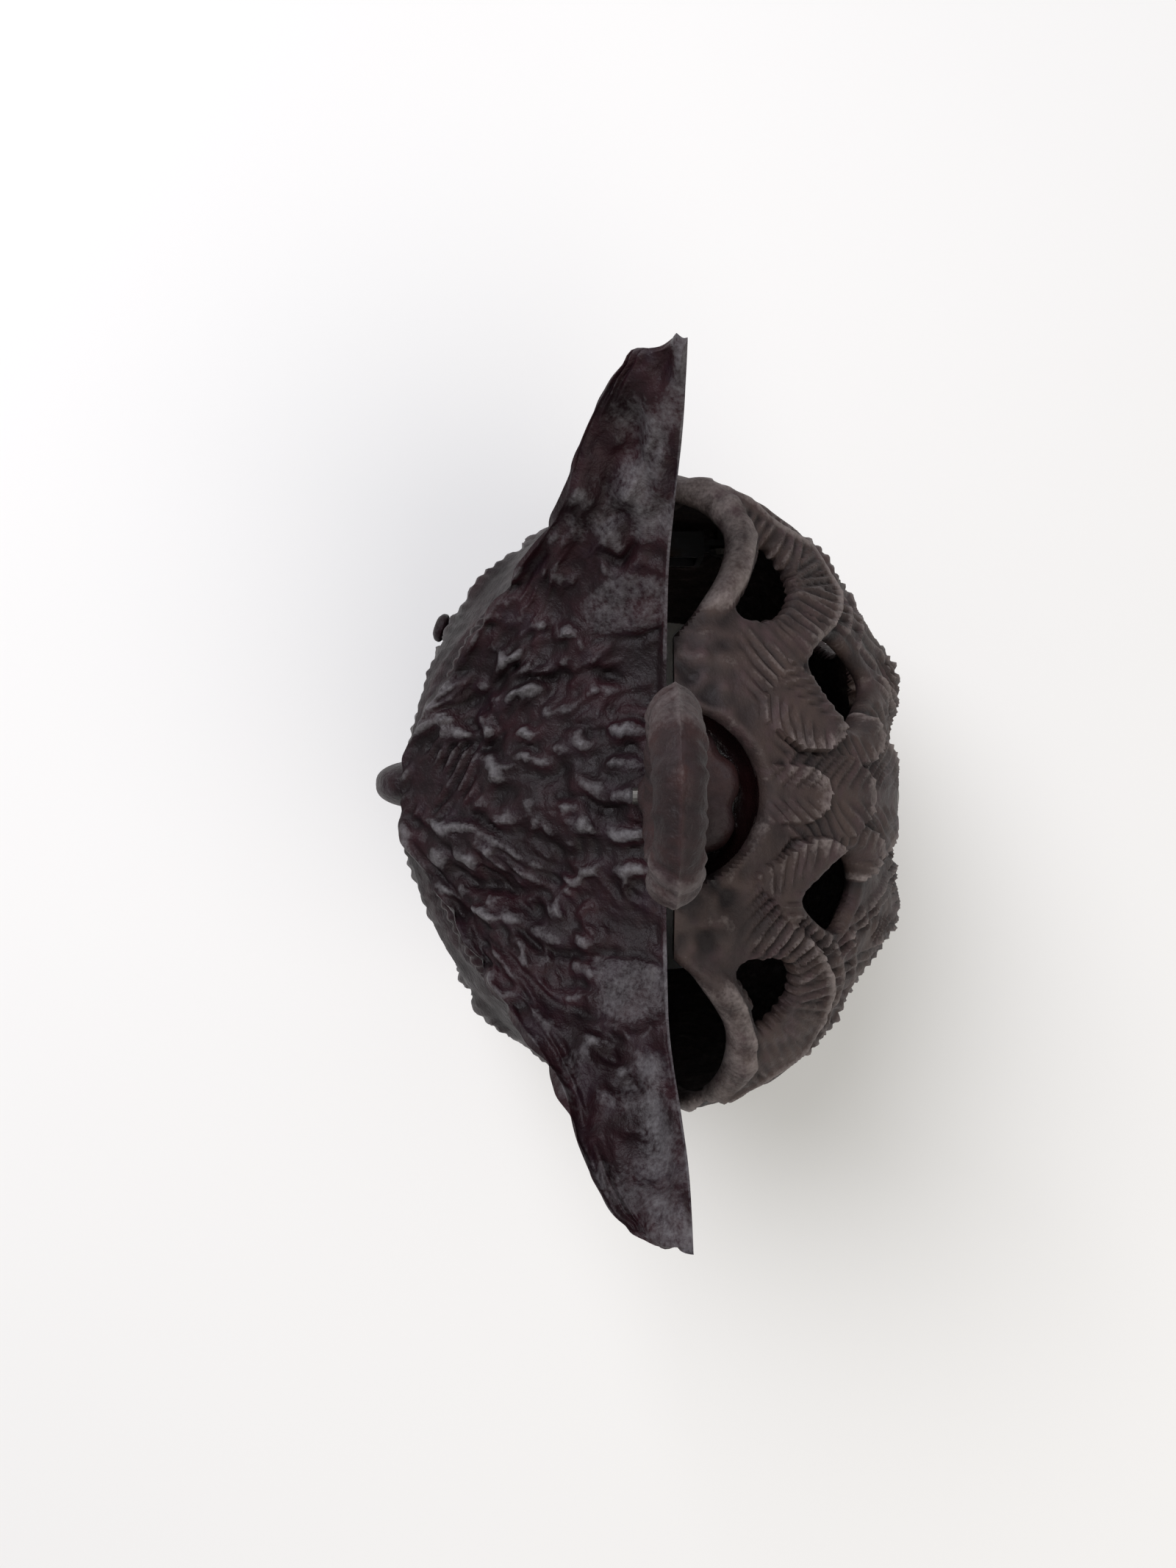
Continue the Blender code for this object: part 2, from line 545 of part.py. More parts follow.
def make_back_shell(finish):
    rises = beside_steps(back_steps(), [0, *map(above_neck, CROWN_ROWS), 1])
    shell = add_object("back_shell", *half_shell_body(feathered_back, 37, rises), finish)
    tail_y = BACK_BASE_DEPTH - 2 * MM
    tail = ball((0, tail_y, 14 * MM), (11 * MM, TAIL_REACH + 2 * MM, 13.8 * MM))
    combine(shell, joined_bodies("tail", [tail]), "UNION")
    lip_top = wall_crown_z(POCKET_RADIUS + POCKET_LIP) + 1.2 * MM
    start = asin((SEAM + 0.02 * MM - SCREW_Y) / (POCKET_RADIUS + POCKET_LIP))
    arc = [start + (pi - 2 * start) * i / 20 for i in range(21)]
    lip = [((POCKET_RADIUS + POCKET_LIP) * cos(turn), SCREW_Y + (POCKET_RADIUS + POCKET_LIP) * sin(turn))
           for turn in arc]
    combine(shell, joined_bodies("pocket_lip", [prism(lip, lip_top - 4 * MM, lip_top, 2)]), "UNION")
    lugs = [lug(z - KNUCKLE_HEIGHT, z - CLEAR / 2, 1) for z in (HINGE_LOW_Z, HINGE_HIGH_Z)]
    combine(shell, joined_bodies("back_lugs", lugs), "UNION")
    hollow_points, hollow_faces = half_shell_body(back_cavity, 25, np.linspace(0, 1, 14))
    hollow_points[:, 2] = np.where(hollow_points[:, 2] < 0.1 * MM, -2 * MM, hollow_points[:, 2])
    hollow_points[:, 1] = np.where(hollow_points[:, 1] < SEAM + 0.1 * MM, -2 * MM, hollow_points[:, 1])
    combine(shell, add_object("back_hollow", hollow_points, hollow_faces), "DIFFERENCE")
    boss_y = FRAME_BACK_Y + FRAME_DEPTH / 2 + CLEAR
    bosses = [
        rod(FRAME_BOSS_RADIUS, (0, boss_y, z), frame_screw_seat(z) - boss_y, (0, 1, 0))
        for z in (FRAME_SCREW_LOW_Z, FRAME_SCREW_HIGH_Z)
    ]
    combine(shell, joined_bodies("frame_bosses", bosses), "UNION")
    holes = [prism(outline, SHOULDER_Z - 18 * MM, CROWN_Z + 20 * MM, 2) for outline in crown_holes()]
    for outline in side_holes():
        for way in (-1, 1):
            mirrored = [(way * x, z) for x, z in outline]
            holes.append(prism(mirrored, 8 * MM, BACK_BASE_DEPTH + 20 * MM, 1))
    combine(shell, joined_bodies("openwork", holes), "DIFFERENCE")
    bores = [rod(HINGE_PIN_RADIUS + CLEAR, (HINGE_X, 0, z - KNUCKLE_HEIGHT - 5 * MM), 20 * MM)
             for z in (HINGE_LOW_Z, HINGE_HIGH_Z)]
    bores.append(rod(POCKET_RADIUS, (0, SCREW_Y, HEAD_TOP_Z - 4 * MM), 30 * MM, sides=40))
    for z in (FRAME_SCREW_LOW_Z, FRAME_SCREW_HIGH_Z):
        bores.append(rod(FRAME_SCREW_RADIUS + CLEAR, (0, FRAME_BACK_Y, z), 40 * MM, (0, 1, 0)))
    rivet_start = clip_rivet_place() + Vector((-12 * MM, 0, 0))
    bores.append(rod(RIVET_RADIUS + CLEAR, rivet_start, 20 * MM, (1, 0, 0), 12))
    combine(shell, joined_bodies("back_bores", bores), "DIFFERENCE")
    return shell


def wall_y(z, x=0.0, inset=0.0):
    """Surface of the back shell at a height, on or near its middle, or a surface inside it."""
    rises = np.linspace(0, 1, 400)
    angle = np.full_like(rises, acos(x / BELLY_HALF_WIDTH))
    _, y, height = back_surface(angle, rises, inset)
    return float(np.interp(z, height, y))


def frame_screw_seat(z):
    """Depth of the flat boss on the back that a frame screw's head bears on."""
    under_head = [wall_y(z + up, across) for up in (-FRAME_BOSS_RADIUS, 0, FRAME_BOSS_RADIUS)
                  for across in (0, FRAME_BOSS_RADIUS)]
    return max(under_head) + FEATHER_LIFT


def wall_crown_z(y):
    """Height of the back shell's crown at a depth behind the seam."""
    _, depth, height = back_surface(np.full(400, pi / 2), np.linspace(0.5, 1, 400))
    return float(np.interp(-y, -depth, height))


def inside_x(surface, y, z):
    """Half width inside a shell at a distance from the seam plane and a height."""
    spots = []
    for angle in np.linspace(0, pi / 2, 60):
        x, depth, height = surface(np.full(200, angle), np.linspace(0, 1, 200))
        spots.append((np.interp(z, height, np.abs(depth)), np.interp(z, height, x)))
    depths, widths = np.array(spots).T
    return float(np.interp(y, depths, widths))


def tongue_rivet_place():
    """Where the tongue's rivet crosses the door's wall, at the tongue's inner face."""
    inside = inside_x(front_cavity, TONGUE_REACH, CATCH_Z)
    return Vector((-inside + CATCH_WALL_GAP + TONGUE_THICKNESS, -5 * MM, CATCH_Z))


def clip_rivet_place():
    """Where the clip's rivet crosses the back's wall, at the clip's inner face."""
    inside = inside_x(back_cavity, CLIP_RIVET_Y + CLIP_TAB_HALF, CATCH_Z)
    return Vector((-inside + CATCH_WALL_GAP + CLIP_LEAF, CLIP_RIVET_Y, CATCH_Z))


def frame_outline():
    """Side outline, in Y and Z, of the C: a mitred band along a rounded path."""
    head_z = HEAD_LOW_Z + HEAD_HEIGHT / 2
    bend = [head_z - drop * (head_z - BELLY_HIGH_Z) for drop in (0.12, 0.25, 0.45, 0.7)]
    path = [(0, head_z), (0.35 * FRAME_BACK_Y, head_z)]
    path += [(min(FRAME_BACK_Y, wall_y(z, inset=FRAME_INSET)), z) for z in bend]
    path += [(FRAME_BACK_Y, ARM_TOP_Z + 16 * MM), (0.92 * FRAME_BACK_Y, ARM_TOP_Z + 3 * MM)]
    path += [(0.68 * FRAME_BACK_Y, ARM_TOP_Z - FRAME_DEPTH / 2), (0, ARM_TOP_Z - FRAME_DEPTH / 2)]
    path = np.array(path)
    steps = np.diff(path, axis=0)
    steps /= np.linalg.norm(steps, axis=1)[:, None]
    tangents = np.vstack([steps[:1], steps[:-1] + steps[1:], steps[-1:]])
    tangents /= np.linalg.norm(tangents, axis=1)[:, None]
    sideways = np.stack([-tangents[:, 1], tangents[:, 0]], axis=1)
    mitre = np.ones(len(path))
    mitre[1:-1] = 1 / np.einsum("ij,ij->i", tangents[1:-1], steps[1:])
    reach = FRAME_DEPTH / 2 * mitre[:, None] * sideways
    return list(path + reach) + list((path - reach)[::-1])


def make_frame(finish):
    outline = frame_outline()
    frame = add_object("press_frame", *prism(outline, -FRAME_WIDTH / 2, FRAME_WIDTH / 2, 0), finish)
    head = rod(HEAD_RADIUS, (0, SCREW_Y, HEAD_LOW_Z - 0.02 * MM), HEAD_HEIGHT + 0.04 * MM, sides=36)
    seat = rod(CUP_RADIUS, (0, SCREW_Y, FRAME_FOOT_Z - 0.02 * MM), FRAME_DEPTH + 0.02 * MM, sides=36)
    combine(frame, joined_bodies("frame_ends", [head, seat]), "UNION")
    bores = [
        rod(BUSH_RADIUS + CLEAR, (0, SCREW_Y, HEAD_LOW_Z - 5 * MM), 25 * MM, sides=32),
        rod(SPIGOT_RADIUS + CLEAR, (0, SCREW_Y, FRAME_FOOT_Z - 5 * MM), 25 * MM, sides=28),
    ]
    for z in (FRAME_SCREW_LOW_Z, FRAME_SCREW_HIGH_Z):
        start = FRAME_BACK_Y + FRAME_DEPTH / 2 - FRAME_SCREW_BITE - 1 * MM
        bores.append(rod(FRAME_SCREW_RADIUS + CLEAR, (0, start, z), 20 * MM, (0, 1, 0)))
    combine(frame, joined_bodies("frame_bores", bores), "DIFFERENCE")
    return frame


def make_frame_screw(name, z, finish):
    """Pan-head screw that holds the frame to the back shell."""
    start = FRAME_BACK_Y + FRAME_DEPTH / 2 - FRAME_SCREW_BITE
    seat = frame_screw_seat(z) + CLEAR - start
    profile = [(0, 0), (FRAME_SCREW_RADIUS, 0), (FRAME_SCREW_RADIUS, seat), (FRAME_SCREW_HEAD, seat)]
    profile += [(FRAME_SCREW_HEAD, seat + 1 * MM), (0.6 * FRAME_SCREW_HEAD, seat + 2.2 * MM)]
    profile.append((0, seat + 2.4 * MM))
    return add_object(name, *turned(profile, (0, start, z), (0, 1, 0), 20), finish)


def make_bush(finish):
    """Threaded bush: plain shank, three-lobed flange on the frame's head."""
    flange = []
    for i in range(48):
        angle = 2 * pi * i / 48
        radius = BUSH_FLANGE_RADIUS * (0.93 + 0.07 * cos(3 * angle - pi / 2))
        flange.append((radius * cos(angle), SCREW_Y + radius * sin(angle)))
    low = HEAD_TOP_Z + CLEAR
    bush = add_object("threaded_bush", *prism(flange, low, low + BUSH_FLANGE_HEIGHT, 2), finish)
    shank = rod(BUSH_RADIUS, (0, SCREW_Y, HEAD_LOW_Z), low + 1 * MM - HEAD_LOW_Z, sides=32)
    combine(bush, joined_bodies("bush_shank", [shank]), "UNION")
    bore = rod(SCREW_RADIUS + CLEAR, (0, SCREW_Y, HEAD_LOW_Z - 5 * MM), 40 * MM, sides=28)
    combine(bush, joined_bodies("bush_bore", [bore]), "DIFFERENCE")
    return bush


def make_spindle(finish):
    """Screw: its foot turns in the pad, its top is pinned in the grip's boss."""
    foot = spindle_foot()
    top = BOSS_LOW_Z + GRIP_BOSS_HEIGHT - 0.5 * MM
    profile = [(0, foot), (SCREW_RADIUS - 1 * MM, foot), (SCREW_RADIUS - 1 * MM, PAD_TOP_Z + CLEAR)]
    profile += [(SCREW_RADIUS, PAD_TOP_Z + CLEAR), (SCREW_RADIUS, top - 0.5 * MM)]
    profile += [(SCREW_RADIUS - 0.5 * MM, top), (0, top)]
    spindle = add_object("spindle", *turned(profile, (0, SCREW_Y, 0), sides=28), finish)
    cuts = [
        rod(GRIP_PIN_RADIUS + CLEAR, (0, SCREW_Y - 10 * MM, pin_height()), 20 * MM, (0, 1, 0), 14),
        rod(PAD_SCREW_RADIUS + CLEAR, (0, SCREW_Y, foot - 5 * MM), PAD_SCREW_BITE + 6 * MM, sides=14),
    ]
    combine(spindle, joined_bodies("spindle_bores", cuts), "DIFFERENCE")
    return spindle


def spindle_foot():
    return PAD_LOW_Z + 0.35 * PAD_HEIGHT


def pin_height():
    return BOSS_LOW_Z + GRIP_BOSS_HEIGHT / 2


def make_grip(finish):
    """Ring with a lens-shaped bar in the seam plane, and the boss it stands on."""
    middle = RING_OUTER_RADIUS - RING_BAR / 2
    half_section = [(0.5, 0), (0.3, 0.36), (-0.1, 0.5), (-0.42, 0.3), (-0.5, 0)]
    section = half_section + [(out, -thick) for out, thick in half_section[3:0:-1]]
    around = 40
    points, faces = [], []
    for i in range(around):
        angle = 2 * pi * i / around
        for out, thick in section:
            radius = middle + out * RING_BAR
            points.append((radius * cos(angle), SCREW_Y + thick * RING_BAR, RING_Z + radius * sin(angle)))
    count = len(section)
    for i in range(around):
        for j in range(count):
            a, b = i * count + j, i * count + (j + 1) % count
            c, d = (b + count) % len(points), (a + count) % len(points)
            faces.append([a, b, c, d])
    ring = add_object("ring_grip", points, faces, finish)
    rise = GRIP_BOSS_HEIGHT + 0.4 * RING_BAR
    profile = [(0, 0), (GRIP_BOSS_RADIUS, 0), (GRIP_BOSS_RADIUS, GRIP_BOSS_HEIGHT)]
    profile += [(0.55 * GRIP_BOSS_RADIUS, rise), (0, rise)]
    boss = turned(profile, (0, SCREW_Y, BOSS_LOW_Z))
    combine(ring, joined_bodies("grip_boss", [boss]), "UNION")
    socket_depth = GRIP_BOSS_HEIGHT - 0.2 * MM
    socket_start = (0, SCREW_Y, BOSS_LOW_Z - 5 * MM)
    socket = rod(SCREW_RADIUS + CLEAR, socket_start, socket_depth + 5 * MM, sides=28)
    cross = rod(GRIP_PIN_RADIUS + CLEAR, (0, SCREW_Y - 10 * MM, pin_height()), 20 * MM, (0, 1, 0), 14)
    combine(ring, joined_bodies("grip_socket", [socket]), "DIFFERENCE")
    combine(ring, joined_bodies("grip_cross_bore", [cross]), "DIFFERENCE")
    return ring


def make_grip_pin(finish):
    reach = GRIP_BOSS_RADIUS - 0.2 * MM
    shape = rod(GRIP_PIN_RADIUS, (0, SCREW_Y - reach, pin_height()), 2 * reach, (0, 1, 0), 14)
    return add_object("grip_pin", *shape, finish)


def make_pad(finish):
    """Pressure pad that hangs on the spindle's foot and stays still while it turns."""
    profile = [(0, PAD_LOW_Z), (PAD_RADIUS - 1 * MM, PAD_LOW_Z), (PAD_RADIUS, PAD_LOW_Z + 1.5 * MM)]
    profile += [(PAD_RADIUS, PAD_LOW_Z + 0.55 * PAD_HEIGHT), (SCREW_RADIUS + 2 * MM, PAD_TOP_Z)]
    profile.append((0, PAD_TOP_Z))
    pad = add_object("pressure_pad", *turned(profile, (0, SCREW_Y, 0), sides=32), finish)
    foot = (0, SCREW_Y, spindle_foot() - CLEAR)
    socket = rod(SCREW_RADIUS - 1 * MM + CLEAR, foot, 20 * MM, sides=24)
    below = rod(PAD_SCREW_RADIUS + CLEAR, (0, SCREW_Y, PAD_LOW_Z - 5 * MM), 10 * MM, sides=14)
    seat = rod(PAD_SCREW_HEAD + CLEAR, (0, SCREW_Y, PAD_LOW_Z - 5 * MM), 5 * MM + 1.6 * MM, sides=20)
    combine(pad, joined_bodies("pad_socket", [socket]), "DIFFERENCE")
    combine(pad, joined_bodies("pad_screw_bore", [below]), "DIFFERENCE")
    combine(pad, joined_bodies("pad_screw_seat", [seat]), "DIFFERENCE")
    return pad


def make_pad_screw(finish):
    low = PAD_LOW_Z + 0.1 * MM
    top = spindle_foot() + PAD_SCREW_BITE
    profile = [(0, low), (PAD_SCREW_HEAD, low), (PAD_SCREW_HEAD, low + 1.2 * MM)]
    profile += [(PAD_SCREW_RADIUS, low + 1.2 * MM), (PAD_SCREW_RADIUS, top), (0, top)]
    return add_object("pad_screw", *turned(profile, (0, SCREW_Y, 0), sides=18), finish)


def make_cup(finish):
    """Nut cup: dished top, and a spigot that drops into the frame's lower arm."""
    floor = CUP_TOP_Z - CUP_DISH_DEPTH
    profile = [(0, CUP_LOW_Z - SPIGOT_LENGTH), (SPIGOT_RADIUS - 0.5 * MM, CUP_LOW_Z - SPIGOT_LENGTH)]
    profile += [(SPIGOT_RADIUS, CUP_LOW_Z - SPIGOT_LENGTH + 0.5 * MM), (SPIGOT_RADIUS, CUP_LOW_Z)]
    profile += [(0.8 * CUP_RADIUS, CUP_LOW_Z), (0.86 * CUP_RADIUS, CUP_LOW_Z + 0.3 * CUP_HEIGHT)]
    profile += [(CUP_RADIUS, CUP_TOP_Z - 1 * MM), (CUP_RADIUS - 0.8 * MM, CUP_TOP_Z)]
    profile.append((CUP_DISH_RADIUS, CUP_TOP_Z))
    for i in range(2, 6):
        angle = i * pi / 12
        profile.append((CUP_DISH_RADIUS * cos(angle), CUP_TOP_Z - CUP_DISH_DEPTH * sin(angle)))
    profile.append((0, floor))
    return add_object("nut_cup", *turned(profile, (0, SCREW_Y, 0), sides=36), finish)


def make_hinge_pin(name, z, finish):
    low = z - KNUCKLE_HEIGHT + 0.5 * MM
    top = z + KNUCKLE_HEIGHT + CLEAR
    profile = [(0, low), (HINGE_PIN_RADIUS, low), (HINGE_PIN_RADIUS, top), (HINGE_PIN_HEAD, top)]
    profile += [(HINGE_PIN_HEAD, top + 1 * MM), (0.5 * HINGE_PIN_HEAD, top + 1.8 * MM), (0, top + 1.9 * MM)]
    return add_object(name, *turned(profile, (HINGE_X, 0, 0), sides=18), finish)


def make_knob(finish):
    """Small pull knob whose shank passes through the door's wall."""
    spot, normal = front_place(-KNOB_ACROSS, KNOB_Z)
    inside = WALL + CLEAR + KNOB_NUT_HEIGHT
    foot = FEATHER_LIFT + CLEAR
    profile = [(0, -inside - 1 * MM), (KNOB_SHANK_RADIUS, -inside - 1 * MM), (KNOB_SHANK_RADIUS, foot)]
    profile += [(0.75 * KNOB_RADIUS, foot), (0.6 * KNOB_RADIUS, 0.4 * KNOB_REACH)]
    profile += [(KNOB_RADIUS, 0.62 * KNOB_REACH), (KNOB_RADIUS, 0.8 * KNOB_REACH)]
    profile += [(0.7 * KNOB_RADIUS, KNOB_REACH), (0, 1.04 * KNOB_REACH)]
    return add_object("pull_knob", *turned(profile, spot, normal, 18), finish)


def make_knob_nut(finish):
    spot, normal = front_place(-KNOB_ACROSS, KNOB_Z)
    start = spot - normal * (WALL + CLEAR + KNOB_NUT_HEIGHT)
    nut = add_object("knob_nut", *rod(KNOB_NUT_RADIUS, start, KNOB_NUT_HEIGHT, normal, 6), finish)
    bore = rod(KNOB_SHANK_RADIUS + CLEAR, start - normal * 3 * MM, 12 * MM, normal, 18)
    combine(nut, joined_bodies("knob_nut_bore", [bore]), "DIFFERENCE")
    return nut


def make_tongue(finish):
    """Steel tongue on the door's free side, which slides between the clip's leaves."""
    inner = tongue_rivet_place()
    low = (inner.x - TONGUE_THICKNESS, -TONGUE_REACH, CATCH_Z - TONGUE_HEIGHT / 2)
    high = (inner.x, TONGUE_REACH, CATCH_Z + TONGUE_HEIGHT / 2)
    tongue = add_object("catch_tongue", *block(low, high), finish)
    bore = rod(RIVET_RADIUS + CLEAR, inner + Vector((-5 * MM, 0, 0)), 10 * MM, (1, 0, 0), 12)
    combine(tongue, joined_bodies("tongue_bore", [bore]), "DIFFERENCE")
    return tongue


def make_clip(finish):
    """Spring clip riveted in the back shell: two leaves, a web and a fixing tab."""
    half = TONGUE_HEIGHT / 2 + CLEAR
    web_y = TONGUE_REACH + 1 * MM
    outline = [(3 * MM, half), (3 * MM, half + CLIP_LEAF), (web_y + CLIP_LEAF, half + CLIP_LEAF)]
    outline += [(web_y + CLIP_LEAF, -half - CLIP_LEAF), (3 * MM, -half - CLIP_LEAF), (3 * MM, -half)]
    outline += [(web_y, -half), (web_y, half)]
    outline = [(y, CATCH_Z + z) for y, z in outline]
    rivet = clip_rivet_place()
    outside = rivet.x - 2 * CLIP_LEAF
    clip = add_object("catch_clip", *prism(outline, outside, outside + CLIP_WIDTH, 0), finish)
    tab_low = (rivet.x - CLIP_LEAF, web_y + 0.2 * MM, CATCH_Z - CLIP_TAB_HALF)
    tab_high = (rivet.x, rivet.y + CLIP_TAB_HALF, CATCH_Z + CLIP_TAB_HALF)
    tab = block(tab_low, tab_high)
    combine(clip, joined_bodies("clip_tab", [tab]), "UNION")
    bore = rod(RIVET_RADIUS + CLEAR, rivet + Vector((-5 * MM, 0, 0)), 10 * MM, (1, 0, 0), 12)
    combine(clip, joined_bodies("clip_bore", [bore]), "DIFFERENCE")
    return clip


def make_rivet(name, inner, outer_x, finish):
    """Rivet along X: a head inside on the sheet, its tail a little proud outside the wall."""
    length = inner.x + CLEAR - outer_x
    profile = [(0, 0), (RIVET_RADIUS, 0), (RIVET_RADIUS, length), (RIVET_HEAD, length)]
    profile += [(0.7 * RIVET_HEAD, length + 1 * MM), (0, length + 1.2 * MM)]
    return add_object(name, *turned(profile, (outer_x, inner.y, inner.z), (1, 0, 0), 12), finish)


def add_axis(name, place, pieces):
    """Empty on a joint's axis that carries the pieces which move with it."""
    axis = add_empty(name, place)
    axis.parent = bpy.data.objects["stand"]
    for piece in pieces:
        piece.parent = axis
        piece.matrix_parent_inverse = Matrix.Translation(-Vector(place))


def add_empty(name, place):
    empty = bpy.data.objects.new(name, None)
    empty.location = place
    bpy.context.scene.collection.objects.link(empty)
    return empty


def centre_on_base(stand):
    """Moves the whole so that the origin is the middle of its base."""
    graph = bpy.context.evaluated_depsgraph_get()
    corners = []
    for piece in bpy.data.objects:
        if piece.type == "MESH" and not piece.hide_render:
            found = piece.evaluated_get(graph)
            corners += [found.matrix_world @ Vector(corner) for corner in found.bound_box]
    corners = np.array(corners)
    middle = (corners.min(axis=0) + corners.max(axis=0)) / 2
    stand.location = (-middle[0], -middle[1], -corners[:, 2].min())


def main():
    for old in list(bpy.data.objects):
        bpy.data.objects.remove(old)
    stand = add_empty("stand", (0, 0, 0))
    dark_iron = material("dark cast iron", (0.040, 0.030, 0.032), 0.42, 0.6)
    brown_iron = material("brown cast iron", (0.075, 0.058, 0.054), 0.62, 0.5)
    frame_iron = material("black cast iron", (0.03, 0.027, 0.027), 0.5, 0.6)
    steel = material("steel", (0.34, 0.33, 0.32), 0.35, 1)
    make_back_shell(brown_iron)
    make_frame(frame_iron)
    make_frame_screw("frame_screw_lower", FRAME_SCREW_LOW_Z, steel)
    make_frame_screw("frame_screw_upper", FRAME_SCREW_HIGH_Z, steel)
    make_bush(brown_iron)
    make_clip(steel)
    clip_rivet = clip_rivet_place()
    make_rivet("clip_rivet", clip_rivet, clip_rivet.x - 6 * MM, steel)
    for name, z in (("hinge_pin_lower", HINGE_LOW_Z), ("hinge_pin_upper", HINGE_HIGH_Z)):
        make_hinge_pin(name, z, steel)
    tongue_rivet = tongue_rivet_place()
    door = [make_front_shell(dark_iron), make_knob(dark_iron), make_knob_nut(steel), make_tongue(steel)]
    door.append(make_rivet("tongue_rivet", tongue_rivet, tongue_rivet.x - 5.6 * MM, steel))
    add_axis("door_axis", (HINGE_X, 0, 0), door)
    add_axis("pad_axis", (0, SCREW_Y, PAD_LOW_Z), [make_pad(frame_iron), make_pad_screw(steel)])
    turning = [make_spindle(steel), make_grip(brown_iron), make_grip_pin(steel)]
    add_axis("screw_axis", (0, SCREW_Y, RING_Z), turning)
    add_axis("cup_axis", (0, SCREW_Y, CUP_LOW_Z), [make_cup(frame_iron)])
    centre_on_base(stand)

main()
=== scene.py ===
import math

import bpy
import numpy as np
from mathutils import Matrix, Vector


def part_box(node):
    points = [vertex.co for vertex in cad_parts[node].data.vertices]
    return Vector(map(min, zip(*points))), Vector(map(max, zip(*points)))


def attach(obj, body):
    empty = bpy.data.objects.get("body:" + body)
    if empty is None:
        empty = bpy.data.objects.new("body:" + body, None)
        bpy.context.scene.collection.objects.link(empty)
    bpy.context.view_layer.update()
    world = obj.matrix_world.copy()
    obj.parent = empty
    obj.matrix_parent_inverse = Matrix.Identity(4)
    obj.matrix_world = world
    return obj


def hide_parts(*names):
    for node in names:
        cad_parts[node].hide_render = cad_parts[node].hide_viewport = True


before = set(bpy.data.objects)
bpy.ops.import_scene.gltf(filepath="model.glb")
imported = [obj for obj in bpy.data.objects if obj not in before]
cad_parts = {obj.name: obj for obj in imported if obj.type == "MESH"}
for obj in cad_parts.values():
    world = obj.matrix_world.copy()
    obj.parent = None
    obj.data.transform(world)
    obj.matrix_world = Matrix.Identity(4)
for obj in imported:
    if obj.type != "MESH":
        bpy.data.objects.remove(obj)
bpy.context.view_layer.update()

mm = 0.001
ringLow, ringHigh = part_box("ring_grip")
seamBehindScrew = 0.9  # mm from the press screw's axis back to the plane where the halves meet
# Forms are worked out in mm from the point under the screw in the seam plane, then moved here.
homePoint = np.array([(ringLow[0] + ringHigh[0]) / 2 / mm,
                      (ringLow[1] + ringHigh[1]) / 2 / mm + seamBehindScrew, 0])


def smooth(low, high, value):  # 0 below low, 1 above high, an S between them
    s = np.clip((value - low) / (high - low), 0, 1)
    return s * s * (3 - 2 * s)


def bump(value, middle, width):  # bell curve, 1 at the middle
    return np.exp(-((value - middle) / width) ** 2)


def through(points, at):
    # Smooth curve through (place, value) pairs: cubic pieces that share their slopes.
    places, values = np.array(points, float).T
    slopes = np.gradient(values, places)
    at = np.clip(at, places[0], places[-1])
    i = np.clip(np.searchsorted(places, at, side="right") - 1, 0, len(places) - 2)
    gap = places[i + 1] - places[i]
    s = (at - places[i]) / gap
    start = (2 * s**3 - 3 * s**2 + 1) * values[i] + (s**3 - 2 * s**2 + s) * gap * slopes[i]
    return start + (3 * s**2 - 2 * s**3) * values[i + 1] + (s**3 - s**2) * gap * slopes[i + 1]


def softNoise(u, v, seed, size=97):
    # Random heights from 0 to 1 on a unit lattice, blended between its corners by S curves.
    heights = np.random.default_rng(seed).random((size, size))
    u, v = np.broadcast_arrays(u, v)
    i, j = np.floor(u).astype(int), np.floor(v).astype(int)
    s, t = smooth(0, 1, u - i), smooth(0, 1, v - j)
    near, far = (heights[i % size, k % size] * (1 - s) + heights[(i + 1) % size, k % size] * s
                 for k in (j, j + 1))
    return near * (1 - t) + far * t


def lumpy(x, y, sizeX, sizeY, seed):  # the noise about zero, with lumps of a size in mm
    return softNoise(x / sizeX, y / sizeY, seed) - 0.5


def crease(u, v, seed):  # the noise folded at its middle height, so that it has sharp crests
    return 1 - np.abs(2 * softNoise(u, v, seed) - 1)


def fullTurn(count):  # angles evenly round a circle
    return np.linspace(0, 2 * np.pi, count, endpoint=False)


def roundLoop(corners, steps=8):
    # Closed smooth loop: a Catmull-Rom curve through the corners.
    b = np.array(corners, float)
    a, c, d = np.roll(b, 1, axis=0), np.roll(b, -1, axis=0), np.roll(b, -2, axis=0)
    t = (np.arange(steps) / steps)[None, :, None]
    a, b, c, d = (k[:, None, :] for k in (a, b, c, d))
    curve = b + 0.5 * t * (c - a + t * (2 * a - 5 * b + 4 * c - d + t * (3 * (b - c) + d - a)))
    return curve.reshape(-1, 2)


def lineDistance(points, line):
    # Distance of each 2-D point from a closed broken line, below zero inside it.
    best = np.full(len(points), 1e9)
    inside = np.zeros(len(points), bool)
    for a, b in zip(line, np.roll(line, -1, axis=0)):
        step = b - a
        share = np.clip(((points - a) @ step) / (step @ step), 0, 1)
        best = np.minimum(best, np.linalg.norm(points - a - share[:, None] * step, axis=1))
        if a[1] != b[1]:
            crosses = (a[1] > points[:, 1]) != (b[1] > points[:, 1])
            at = a[0] + (points[:, 1] - a[1]) * step[0] / step[1]
            inside ^= crosses & (points[:, 0] < at)
    return np.where(inside, -best, best)


